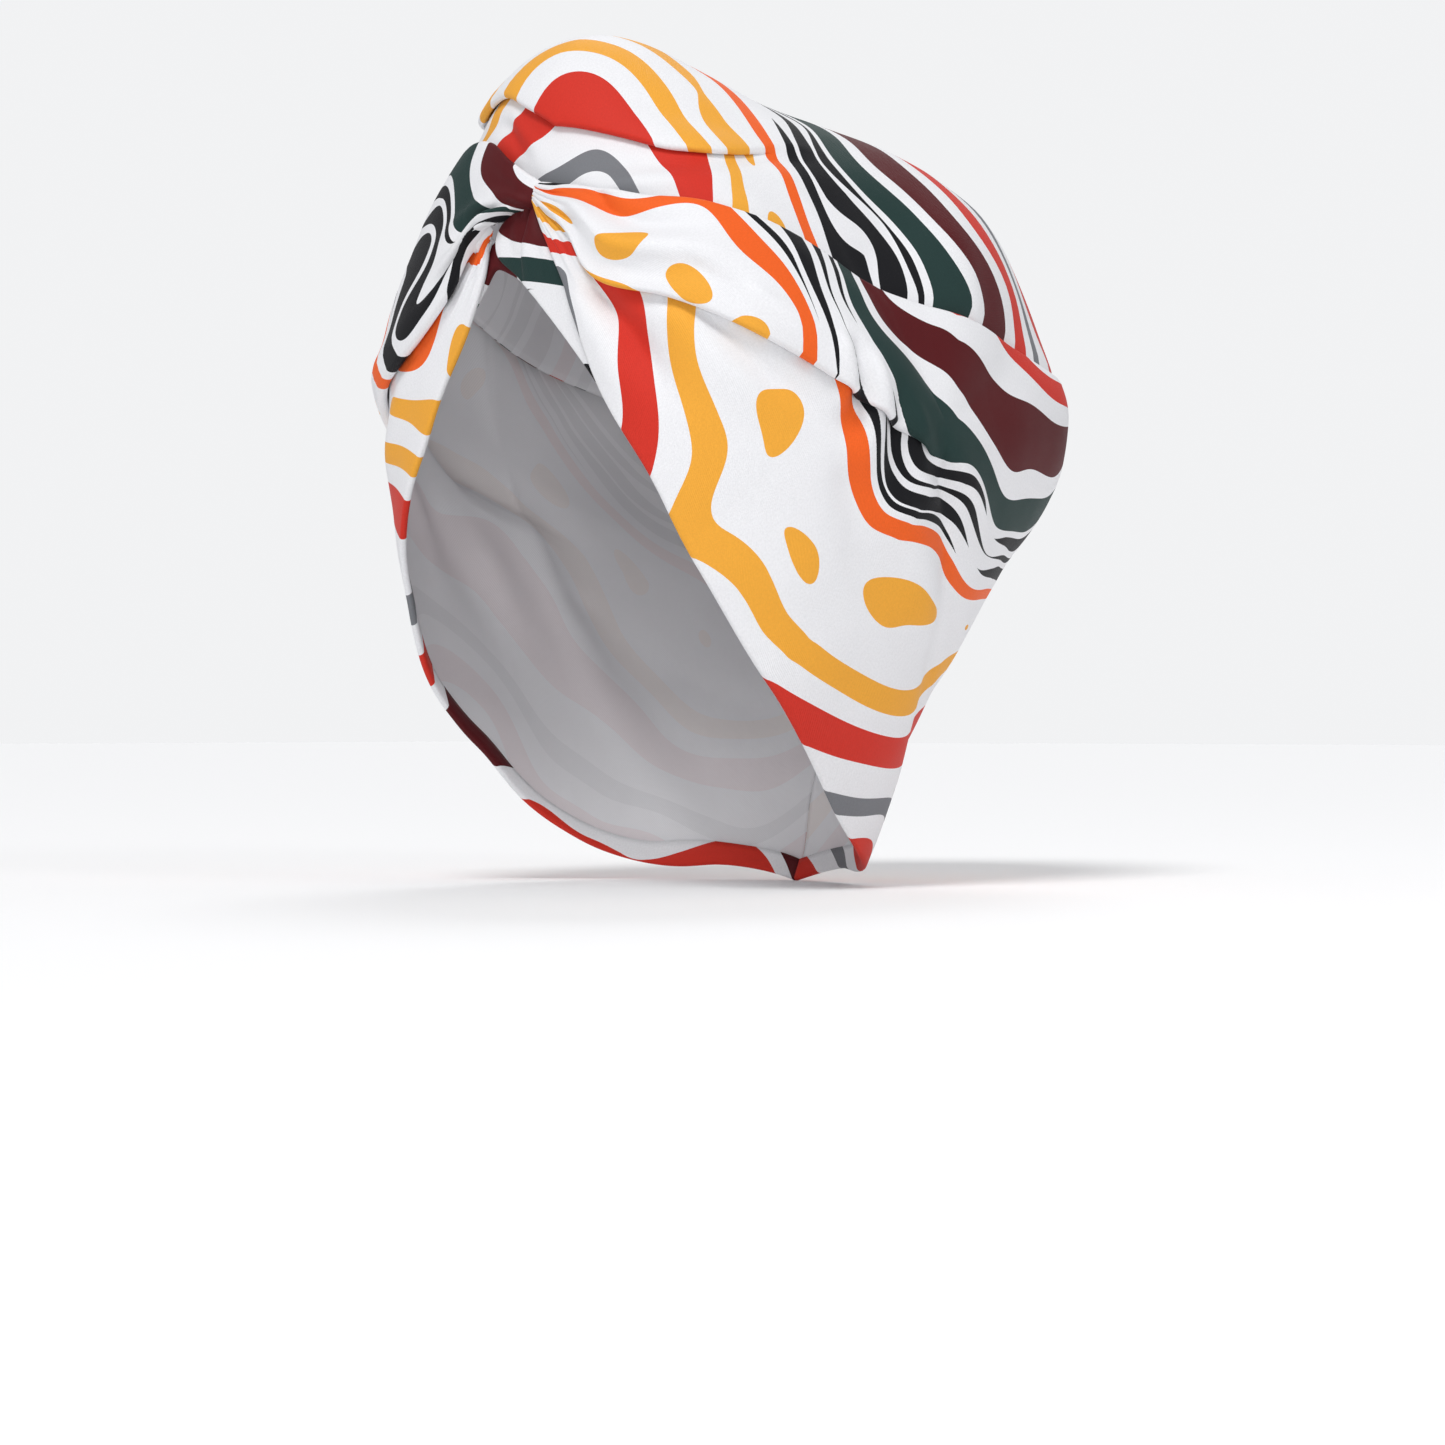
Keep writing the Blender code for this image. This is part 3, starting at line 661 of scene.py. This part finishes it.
def drape_points(v, lines, levels, side, relief):
    """A grid of points and of places on the flat cloth: rows across one drape, columns along it.
    Side is -1 on the wearer's right and 1 on the left."""
    low = direction(spline(v, lines, 1), spline(v, lines, 2))
    line = direction(spline(v, lines, 3), spline(v, lines, 4))
    top = direction(spline(v, lines, 5), spline(v, lines, 6))
    length_low, length_top = arc(low, line), arc(line, top)
    overlap = ramp(v, *PLEAT_LAPS_FROM) * (1 - ramp(v, *PLEAT_LAPS_TO))
    depth = ramp(v, *PLEAT_STANDS_FROM) * (1 - ramp(v, *PLEAT_STANDS_TO))
    place, height, under = cross_section(
        length_low, length_top, overlap, LOWER_ROWS, UPPER_ROWS, True
    )
    upper_layer = height > 0.99
    below = mix(low, line, 1 + place / length_low)
    above = mix(line, top, place / length_top)
    d = np.where((place < 0)[..., None], below, above)
    share_low = np.clip(1 + place / length_low, 0, 1)
    share_up = np.clip(place / length_top, 0, 1)
    if side < 0:
        # The gathered end of the band bows down into the twist.
        bow = (1 - ramp(v, *GATHERED_END)) * np.sin(np.pi * share_up)
        bow = bow * ramp(share_up, *BOWED_WITHIN)
        d = mix(d, direction(PULLED_TO_LONGITUDE, PULLED_TO_LATITUDE), PULL * bow)
    knots = [row_of[0] for row_of in levels]
    edge_level, line_level, top_level = (
        np.interp(v, knots, [row_of[k] for row_of in levels]) for k in (1, 2, 3)
    )
    at_line = edge_level if side < 0 else line_level
    lower = edge_level + (at_line - edge_level) * share_low
    upper = line_level + PLEAT_LAYERS * depth
    level = lower + (upper - lower) * height
    rise = np.where(upper_layer, ramp(share_up, *UPPER_RISES_WITHIN), 0)
    level = level + (top_level - level) * rise
    cap_starts = length_top - EDGE_TUCK
    over_cap = ramp(place, cap_starts - CAP_RISE_FROM, cap_starts - CAP_RISE_TO)
    level = np.where(upper_layer, np.maximum(level, over_cap), level)
    full = fullness(place, FOLD_FULLNESS) * depth * ramp(height, 0.5, 1.0)
    full = full + fullness(length_top - place, EDGE_FULLNESS)
    lift = level * LAYER + full * ramp(v, *FULL_FROM) + under
    smooth = lifted(d, lift)
    across = run_of(smooth, 0)
    along = run_of(np.stack([on_form(line)]), 1)
    whole = across[-1]
    fanned = 1 + (DRAPE_WIDTH / whole - 1) * FANNED_OUT * (1 - ramp(v, *FANNED_WITHIN))
    fold_row = np.argmax(height > 0.49, axis=0)[0]
    centred = (across - across[fold_row]) * fanned
    flat = np.stack(np.broadcast_arrays(centred, along), axis=-1)
    lift = lift + relief(d, v, along[0], place, height, share_low, share_up)
    points = lifted(d, lift)
    points[..., 0] += side * SEAM_HALF_GAP
    return points, flat


def cloth_piece(name, mesh, row, column, points, flat, face, reverse):
    """Moves a mesh's vertices to the points of their rows and columns, counted from the origin,
    lays the flat cloth on it as its UV map, and gives it a wall with its two sides."""
    middle = np.array(MIDDLE)
    places = points[row, column] + middle
    mesh.vertices.foreach_set("co", places.astype(np.float32).ravel())
    corners = np.zeros(len(mesh.loops), int)
    mesh.loops.foreach_get("vertex_index", corners)
    laid = mesh.uv_layers.get("cloth") or mesh.uv_layers.new(name="cloth")
    on_cloth = flat[row, column][corners]
    laid.data.foreach_set("uv", on_cloth.astype(np.float32).ravel())
    mesh.update()
    obj = bpy.data.objects.new(name, mesh)
    bpy.context.scene.collection.objects.link(obj)
    looks_out = sum((np.array(p.center) - middle) @ np.array(p.normal) for p in mesh.polygons)
    if looks_out < 0:
        mesh.flip_normals()
    mesh.shade_smooth()
    mesh.materials.append(face)
    mesh.materials.append(reverse)
    wall = obj.modifiers.new("wall", "SOLIDIFY")
    wall.thickness = CLOTH
    wall.offset = 0.0
    wall.material_offset = 1
    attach(obj, "root")
    return obj


def strip_piece(name, points, flat, face, reverse):
    """A cloth piece from a flat grid with a vertex for each row and column of points."""
    rows, columns = points.shape[0] - 1, points.shape[1] - 1
    grid = bmesh.new()
    bmesh.ops.create_grid(grid, x_segments=columns, y_segments=rows, size=1)
    mesh = bpy.data.meshes.new(name)
    grid.to_mesh(mesh)
    grid.free()
    at = np.array([vertex.co for vertex in mesh.vertices])
    row = np.rint((at[:, 1] + 1) / 2 * rows).astype(int)
    column = np.rint((at[:, 0] + 1) / 2 * columns).astype(int)
    return cloth_piece(name, mesh, row, column, points, flat, face, reverse)


def uneven_cloth(d):
    """The soft unevenness that all the cloth has, in metres."""
    return sum(high * unevenness(d, size, seed) for high, size, seed in UNEVEN)


def right_relief(d, v, along, place, height, share_low, share_up):
    """The low relief of the right drape: gathers, creases and the rolled end of its band."""
    outer = ramp(height, 0.9, 1.0)
    below = 1 - outer
    from_twist = ramp(v, *RELIEF_FROM_TWIST)
    gathered = gathers(share_up, v, *RIGHT_UPPER_GATHERS) * outer * from_twist
    gathered = gathered + gathers(share_low, v, *RIGHT_LOWER_GATHERS) * below * from_twist
    to_end = np.clip(1 - v / ROLLED_WITHIN, 0, 1)
    rolled = ROLLED_DOWN * (1 - np.sqrt(1 - to_end**2)) * outer
    lowest = 1 - ramp(height, 0.0, 0.1)
    pressed = outer * creases(along, place, RIGHT_UPPER_CREASES)
    pressed = pressed + lowest * creases(along, place, RIGHT_LOWER_CREASES)
    return ramp(v, *EVEN_AT_TWIST) * uneven_cloth(d) + gathered + pressed - rolled


along_drape = np.linspace(0, 1, DRAPE_COLUMNS) ** COLUMNS_CROWD
points, flat = drape_points(along_drape, RIGHT_LINES, RIGHT_LEVELS, -1, right_relief)
right_drape = strip_piece(
    "right_drape_cloth",
    points,
    flat,
    cloth_material("right_drape_print", *RIGHT_PRINT),
    cloth_material("right_drape_reverse", *RIGHT_PRINT, GHOST),
)
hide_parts("right_drape")


# The left drape
# The band on the wearer's left, laid over the start of the other: it fans out of the twist, one
# pleat runs from the brow to the notch behind the ear, and its lower edge frames the face.
LEFT_LINES = (
    (0.00, 5.5, 38.2, 4.5, 39.2, 3.5, 41.0),
    (0.06, 12, 30, 16, 32, 18, 38.7),
    (0.12, 17, 22, 23, 24.5, 29, 36.4),
    (0.20, 22.5, 8, 36, 20.5, 42, 35.2),
    (0.32, 32, -8, 54, 13, 60, 33),
    (0.45, 40, -23, 74, 3, 80, 27),
    (0.58, 54, -41, 94, -8, 100, 21.5),
    (0.72, 80, -61, 118, -21, 120, 16.5),
    (0.86, 125, -70.5, 149, -32, 148, 8),
    (1.00, 180, -73.2, 180, -36, 180, 4),
)
LEFT_UPPER_CREASES = (
    (0.012, 0.0015, 0.074, 0.0075, 0.0034, -0.0026),
    (0.012, 0.0065, 0.078, 0.0130, 0.0036, 0.0026),
    (0.020, 0.0140, 0.066, 0.0200, 0.0032, -0.0018),
    (0.030, 0.013, 0.095, 0.018, 0.0050, 0.0014),
    (0.060, 0.010, 0.086, 0.003, 0.0035, -0.0016),
    (0.078, 0.009, 0.104, 0.003, 0.0035, 0.0013),
    (0.015, 0.016, 0.064, 0.030, 0.0040, 0.0012),
    (0.020, 0.021, 0.060, 0.036, 0.0035, -0.0012),
    (0.100, 0.016, 0.160, 0.012, 0.0060, 0.0010),
)
LEFT_LOWER_CREASES = (
    (0.036, 0.000, 0.086, -0.031, 0.0038, -0.0030),
    (0.034, -0.004, 0.082, -0.042, 0.0050, 0.0022),
    (0.058, -0.003, 0.110, -0.024, 0.0060, 0.0019),
    (0.066, -0.001, 0.122, -0.016, 0.0040, -0.0022),
    (0.150, -0.018, 0.205, -0.050, 0.0080, 0.0020),
    (0.132, -0.020, 0.176, -0.058, 0.0070, -0.0019),
)
# Where the pleat ends its last folds lie across it, on both of its layers.
LEFT_END_CREASES = (
    (0.108, 0.012, 0.122, -0.010, 0.0032, 0.0018),
    (0.114, 0.013, 0.130, -0.016, 0.0032, -0.0021),
    (0.121, 0.013, 0.142, -0.024, 0.0040, 0.0024),
    (0.131, 0.011, 0.152, -0.020, 0.0034, -0.0019),
    (0.139, 0.008, 0.168, -0.020, 0.0045, 0.0017),
    (0.150, 0.007, 0.180, -0.012, 0.0040, -0.0012),
)
LEFT_LEVELS = (
    (0.00, 2.0, 2.0, 2.0),
    (0.12, 2.0, 2.0, 1.8),
    (0.20, 1.2, 1.2, 1.4),
    (0.28, 1.1, 1.1, 1.0),
    (0.42, 0.0, 0.0, 1.0),
    (1.00, 0.0, 0.0, 1.0),
)
LEFT_UPPER_GATHERS = (0.0011, 4, 8, 0.22)
LEFT_LOWER_GATHERS = (0.0009, 4, 15, 0.20)
LEFT_PRINT = (-6, (0.065, 0.4), 0.9)


def left_relief(d, v, along, place, height, share_low, share_up):
    """The low relief of the left drape: gathers and creases on its two layers."""
    outer = ramp(height, 0.9, 1.0)
    below = 1 - ramp(height, 0.0, 0.1)
    from_twist = ramp(v, *RELIEF_FROM_TWIST)
    gathered = gathers(share_up, v, *LEFT_UPPER_GATHERS) * outer * from_twist
    gathered = gathered + gathers(share_low, v, *LEFT_LOWER_GATHERS) * below * from_twist
    pressed = outer * creases(along, place, LEFT_UPPER_CREASES)
    pressed = pressed + below * creases(along, place, LEFT_LOWER_CREASES)
    pressed = pressed + creases(along, place, LEFT_END_CREASES)
    return ramp(v, *EVEN_AT_TWIST) * uneven_cloth(d) + gathered + pressed


points, flat = drape_points(along_drape, LEFT_LINES, LEFT_LEVELS, 1, left_relief)
left_drape = strip_piece(
    "left_drape_cloth",
    points,
    flat,
    cloth_material("left_drape_print", *LEFT_PRINT),
    cloth_material("left_drape_reverse", *LEFT_PRINT, GHOST),
)
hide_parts("left_drape")


# The crown
# The cap of cloth over the top, drawn up in one arched pleat over the brow and tucked under the
# drapes all round.
TWIST_LONGITUDE, TWIST_LATITUDE = 6.0, 40.5
APEX_LONGITUDE, APEX_LATITUDE = 180.0, 72.0
ARCH_FULLNESS = (0.0006, 0.011, 0.014)
ARCH_LAYER = 0.0011          # one layer of the arch pleat, pressed flat
ARCH_SINKS_WITHIN = (0.002, 0.015)
LEFT_ARCH_LAPS_TO, LEFT_ARCH_STANDS_TO = (0.16, 0.28), (0.20, 0.40)
RIGHT_ARCH_LAPS_TO, RIGHT_ARCH_STANDS_TO = (0.30, 0.42), (0.40, 0.56)
CREST_LONGITUDE, CREST_LATITUDE = -38.0, 63.0
CREST_HEIGHT = 0.007         # the cap stands fuller over the right brow
CREST_SPREAD = 0.36          # radians
CREST_ENDS_WITHIN = (0.86, 0.97)
CREST_ABOVE_FOLD = 0.15      # the share of it that the upper layer of the arch has alone
EDGE_PRESSED = 0.0007        # the drapes' turned edges press the cap in, from this share of the way
EDGE_PRESSED_FROM = 0.94
CROWN_OUTER_ROWS, CROWN_INNER_ROWS, CROWN_SEGMENTS = 22, 74, 300
FURTHEST_SHARE = 1.3         # the tucked edge lies within this many ways from the apex
CROSSED_WITHIN = 0.05        # the drapes cross each other over the cap's edge this near the twist
CROWN_EVEN_AT_TWIST, CROWN_EVEN_AT_APEX = (0.0, 0.10), (0.0, 0.01)
# Columns: share of the way round from the twist to the centre back, the pleat's place as a share
# of the way from the apex to the cap's edge on the left, and on the right.
ARCH = (
    (0.00, 0.865, 0.865),
    (0.08, 0.855, 0.87),
    (0.14, 0.84, 0.875),
    (0.18, 0.81, 0.88),
    (0.24, 0.72, 0.87),
    (0.36, 0.58, 0.70),
    (0.50, 0.50, 0.56),
    (1.00, 0.50, 0.50),
)
# Columns: share of the way round and of the way from the apex where a crease starts and ends, its
# width in the same shares, its height in metres.
CROWN_CREASES = (
    (0.035, 0.97, 0.170, 0.86, 0.030, -0.0016),
    (0.050, 1.00, 0.240, 0.86, 0.028, 0.0010),
    (0.110, 1.00, 0.300, 0.80, 0.040, -0.0012),
    (-0.02, 0.97, -0.160, 0.93, 0.022, -0.0014),
    (-0.01, 0.93, -0.220, 0.90, 0.018, 0.0008),
    (0.060, 0.80, 0.260, 0.62, 0.050, -0.0012),
    (0.420, 1.00, 0.520, 0.60, 0.050, -0.0018),
    (0.620, 1.00, 0.560, 0.62, 0.040, 0.0012),
)
CROWN_PRINT = (78, (0.165, 0.31), 0.75)


def cap_edge(turn):
    """The direction of the cap's edge: turn runs from -1 (centre back) by the wearer's right,
    0 (twist) and the left to 1 (centre back)."""
    v = np.abs(turn)
    clear = np.maximum(v, CROSSED_WITHIN)
    left = direction(spline(clear, LEFT_LINES, 5), spline(clear, LEFT_LINES, 6))
    right = direction(spline(clear, RIGHT_LINES, 5), spline(clear, RIGHT_LINES, 6))
    edge = np.where((turn > 0)[..., None], left, right)
    twist = direction(TWIST_LONGITUDE, TWIST_LATITUDE)
    return mix(np.broadcast_to(twist, edge.shape), edge, np.minimum(v / CROSSED_WITHIN, 1))


def crown_points(turn):
    """Rows from the apex, through the arch pleat, to the tucked edge; columns all round."""
    v = np.abs(turn)
    apex = np.broadcast_to(direction(APEX_LONGITUDE, APEX_LATITUDE), v.shape + (3,))
    edge = cap_edge(turn)
    angle = np.arccos(np.clip(np.sum(apex * edge, axis=-1), -1, 1))
    arch = np.where(turn > 0, spline(v, ARCH, 1), spline(v, ARCH, 2))
    whole = arc(apex, edge)
    length_in, length_out = arch * whole, (1 - arch) * whole + EDGE_TUCK
    laps = np.where(turn > 0, ramp(v, *LEFT_ARCH_LAPS_TO), ramp(v, *RIGHT_ARCH_LAPS_TO))
    stands = np.where(turn > 0, ramp(v, *LEFT_ARCH_STANDS_TO), ramp(v, *RIGHT_ARCH_STANDS_TO))
    overlap, depth = 1 - laps, 1 - stands
    # Counted from the tucked edge, so that the layer by the apex comes out on top.
    place, height, _ = cross_section(
        length_out, length_in, overlap, CROWN_OUTER_ROWS, CROWN_INNER_ROWS, False
    )
    place, height = place[::-1], height[::-1]
    share = np.clip((length_in - place) / whole, 0, FURTHEST_SHARE)
    turned = share * angle
    across = unit(edge - apex * np.cos(angle)[..., None])
    d = unit(apex * np.cos(turned)[..., None] + across * np.sin(turned)[..., None])
    sunk = (height - 1) * PLEAT_LAYERS * depth * (1 - ramp(-place, *ARCH_SINKS_WITHIN))
    full = fullness(place, ARCH_FULLNESS) * depth * ramp(height, 0.5, 1.0)
    towards_crest = np.sum(d * direction(CREST_LONGITUDE, CREST_LATITUDE), axis=-1)
    crest = CREST_HEIGHT * bump(np.arccos(np.clip(towards_crest, -1, 1)), CREST_SPREAD)
    crest = crest * (1 - CREST_ABOVE_FOLD * (1 - height)) * (1 - ramp(share, *CREST_ENDS_WITHIN))
    pressed = EDGE_PRESSED * ramp(share, EDGE_PRESSED_FROM, 1.0)
    lift = sunk * ARCH_LAYER + full + crest - pressed
    smooth = lifted(d, lift)
    from_apex = run_of(smooth, 0)
    east = unit(np.cross(apex[0], (0.0, 1.0, 0.0)))
    round_apex = np.arctan2(across @ east, across @ np.cross(apex[0], east))
    flat = np.stack([from_apex * np.sin(round_apex), from_apex * np.cos(round_apex)], axis=-1)
    away = ramp(v, *CROWN_EVEN_AT_TWIST) * ramp(from_apex, *CROWN_EVEN_AT_APEX)
    relief = uneven_cloth(d) + creases(turn, share, CROWN_CREASES)
    return lifted(d, lift + relief * away), flat


def crown_piece(name, points, flat, face, reverse):
    """A cloth piece from the upper part of a ball whose rings are the rows of points."""
    rows, segments = points.shape[0] - 1, points.shape[1]
    rings = 2 * rows + 2
    ball = bmesh.new()
    bmesh.ops.create_uvsphere(ball, u_segments=segments, v_segments=rings, radius=1)
    lower = [v for v in ball.verts if v.co.z < math.sin(math.pi / rings) / 2]
    bmesh.ops.delete(ball, geom=lower, context="VERTS")
    mesh = bpy.data.meshes.new(name)
    ball.to_mesh(mesh)
    ball.free()
    at = np.array([vertex.co for vertex in mesh.vertices])
    row = np.rint(np.arccos(np.clip(at[:, 2], -1, 1)) / math.pi * rings).astype(int)
    column = np.rint(np.arctan2(at[:, 1], at[:, 0]) / math.tau * segments).astype(int) % segments
    return cloth_piece(name, mesh, row, column, points, flat, face, reverse)


round_crown = np.arange(CROWN_SEGMENTS) / CROWN_SEGMENTS * math.tau
points, flat = crown_points(np.arctan2(np.cos(round_crown), -np.sin(round_crown)) / math.pi)
crown = crown_piece(
    "crown_cloth",
    points,
    flat,
    cloth_material("crown_print", *CROWN_PRINT),
    cloth_material("crown_reverse", *CROWN_PRINT, GHOST),
)
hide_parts("crown")


# The folds at the twist
# Two short ends of the same cloth where the drapes cross above the forehead: one laid over the
# start of the right drape and narrowing down the left face edge, one peeping out below it.
SHORT_FOLD_COLUMNS, SHORT_FOLD_ROWS = 180, 60
SINKS_WITHIN = (0.28, 0.55)  # a fold goes from its first level to its second here
SWELL_RUNS_OUT = (0.3, 0.6)
SWELLS_ACROSS = 0.625        # the part of the width, from the face edge, that swells
# Columns: share of the length, then the longitude and latitude of the two edges.
OVER_FOLD_LINES = (
    (0.00, 2, 39.2, 6, 39.6),
    (0.14, -4.2, 35.4, 8.5, 36.8),
    (0.28, -4, 31.2, 12, 33.4),
    (0.44, 3, 26.8, 16.5, 28),
    (0.62, 11, 20, 20, 21),
    (0.80, 18, 12.5, 25, 12.5),
    (1.00, 24.5, 4, 30, 3.5),
)
UNDER_FOLD_LINES = (
    (0.00, 19, 14, 23, 17),
    (0.22, 12, 19.2, 17, 24),
    (0.44, 4.5, 25.2, 9, 30.5),
    (0.62, -1.5, 28.4, 0, 33),
    (0.76, -6.5, 29.2, -6.5, 33.5),
    (0.88, -9.2, 25.6, -12, 29),
    (1.00, -12, 22, -17, 24.5),
)
# The over fold's face side is a second, lower fold that runs out under the first. Columns: share of
# the length, share of the way across where the first begins.
OVER_FOLD_STEP = (
    (0.00, 0.72),
    (0.14, 0.66),
    (0.30, 0.46),
    (0.44, 0.10),
    (0.52, -0.15),
    (1.00, -0.15),
)
OVER_FOLD_LEVELS, OVER_FOLD_SWELL = (1.0, 0.0), 0.0008
STEP_DEPTH, STEP_WITHIN = 0.0016, (-0.05, 0.03)
STEPPED_FROM, STEPPED_TO = (0.0, 0.06), (0.30, 0.54)
# Height, place and spread, across from the step or from the face edge, of a swell beside the step,
# a ridge that moves away from it, the curl of the end and a dent.
BESIDE_STEP = (0.0008, 0.10, 0.09)
RIDGE, RIDGE_MOVES, RIDGE_ENDS = (0.0007, 0.30, 0.06), 0.2, (0.4, 0.8)
CURL, CURL_AT, CURL_LENGTH = (0.0016, -0.14, 0.07), 0.07, 0.06
DENT, DENT_AT, DENT_LENGTH = (-0.0009, 0.22, 0.10), 0.24, 0.12
# The side under the left drape is pressed down.
COVERED_DEPTH, COVERED_ACROSS, COVERED_TO = 0.0013, (0.62, 0.86), (0.30, 0.50)
OVER_FOLD_PRINT = (62, (0.145, 0.03), 0.5)
UNDER_FOLD_LEVELS, UNDER_FOLD_SWELL = (-1.6, -1.6), 0.0
UNDER_FOLD_GATHERS, UNDER_FOLD_GATHERED_FROM = (0.0005, 3, 4, 0.5), (0.0, 0.05)
UNDER_FOLD_PRINT = (90, (0.4, 0.05), 0.4)


def over_fold_relief(u, v):
    """The low relief of the over fold: u runs across from the face edge, v along it."""
    off = u - spline(v, OVER_FOLD_STEP, 1)
    stepped = -STEP_DEPTH * (1 - ramp(off, *STEP_WITHIN)) + fullness(off, BESIDE_STEP)
    ridge = fullness(off - RIDGE_MOVES * v, RIDGE) * (1 - ramp(v, *RIDGE_ENDS))
    curl = fullness(off, CURL) * bump(v - CURL_AT, CURL_LENGTH)
    dent = fullness(u, DENT) * bump(v - DENT_AT, DENT_LENGTH)
    covered = -COVERED_DEPTH * ramp(u, *COVERED_ACROSS) * (1 - ramp(v, *COVERED_TO))
    shown = ramp(v, *STEPPED_FROM) * (1 - ramp(v, *STEPPED_TO))
    return (stepped + ridge + dent) * shown + curl + covered


def under_fold_relief(u, v):
    """The few gathers of the under fold, which start at its hidden end."""
    return gathers(u, v, *UNDER_FOLD_GATHERS) * ramp(v, *UNDER_FOLD_GATHERED_FROM)


def short_fold_points(lines, levels, swell, relief):
    """Rows from the fold's face edge, turned in, to its hidden edge; columns along it."""
    v = np.linspace(0, 1, SHORT_FOLD_COLUMNS)
    near = direction(spline(v, lines, 1), spline(v, lines, 2))
    far = direction(spline(v, lines, 3), spline(v, lines, 4))
    length = arc(near, far)
    rows = [(EDGE_TURNED / 2 * (1 - t), -2 * EDGE_ROUND) for t in shares(TURNED_ROWS)]
    for a in half_turn(EDGE_ROWS):
        rows.append((-EDGE_ROUND * math.sin(a), -EDGE_ROUND * (1 + math.cos(a))))
    rows += [(length * t, 0.0) for t in shares(SHORT_FOLD_ROWS, last=True)]
    place = np.array([row_of[0] + 0 * length for row_of in rows])
    under = np.array([row_of[1] + 0 * length for row_of in rows])
    u = place / length
    d = mix(near, far, np.minimum(u, 1.0))
    level = levels[0] + (levels[1] - levels[0]) * ramp(v, *SINKS_WITHIN)
    full = swell * np.sin(np.pi * np.clip(u / SWELLS_ACROSS, 0, 1)) * (1 - ramp(v, *SWELL_RUNS_OUT))
    lift = level * LAYER + full + under
    smooth = lifted(d, lift)
    across = run_of(smooth, 0)
    along = run_of(smooth, 1)[len(rows) // 2]
    flat = np.stack(np.broadcast_arrays(across, along), axis=-1)
    return lifted(d, lift + relief(np.clip(u, 0, 1), v)), flat


points, flat = short_fold_points(
    OVER_FOLD_LINES, OVER_FOLD_LEVELS, OVER_FOLD_SWELL, over_fold_relief
)
over_fold = strip_piece(
    "twist_over_fold_cloth",
    points,
    flat,
    cloth_material("over_fold_print", *OVER_FOLD_PRINT),
    cloth_material("over_fold_reverse", *OVER_FOLD_PRINT, GHOST),
)
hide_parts("twist_over_fold")

points, flat = short_fold_points(
    UNDER_FOLD_LINES, UNDER_FOLD_LEVELS, UNDER_FOLD_SWELL, under_fold_relief
)
under_fold = strip_piece(
    "twist_under_fold_cloth",
    points,
    flat,
    cloth_material("under_fold_print", *UNDER_FOLD_PRINT),
    cloth_material("under_fold_reverse", *UNDER_FOLD_PRINT, GHOST),
)
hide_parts("twist_under_fold")
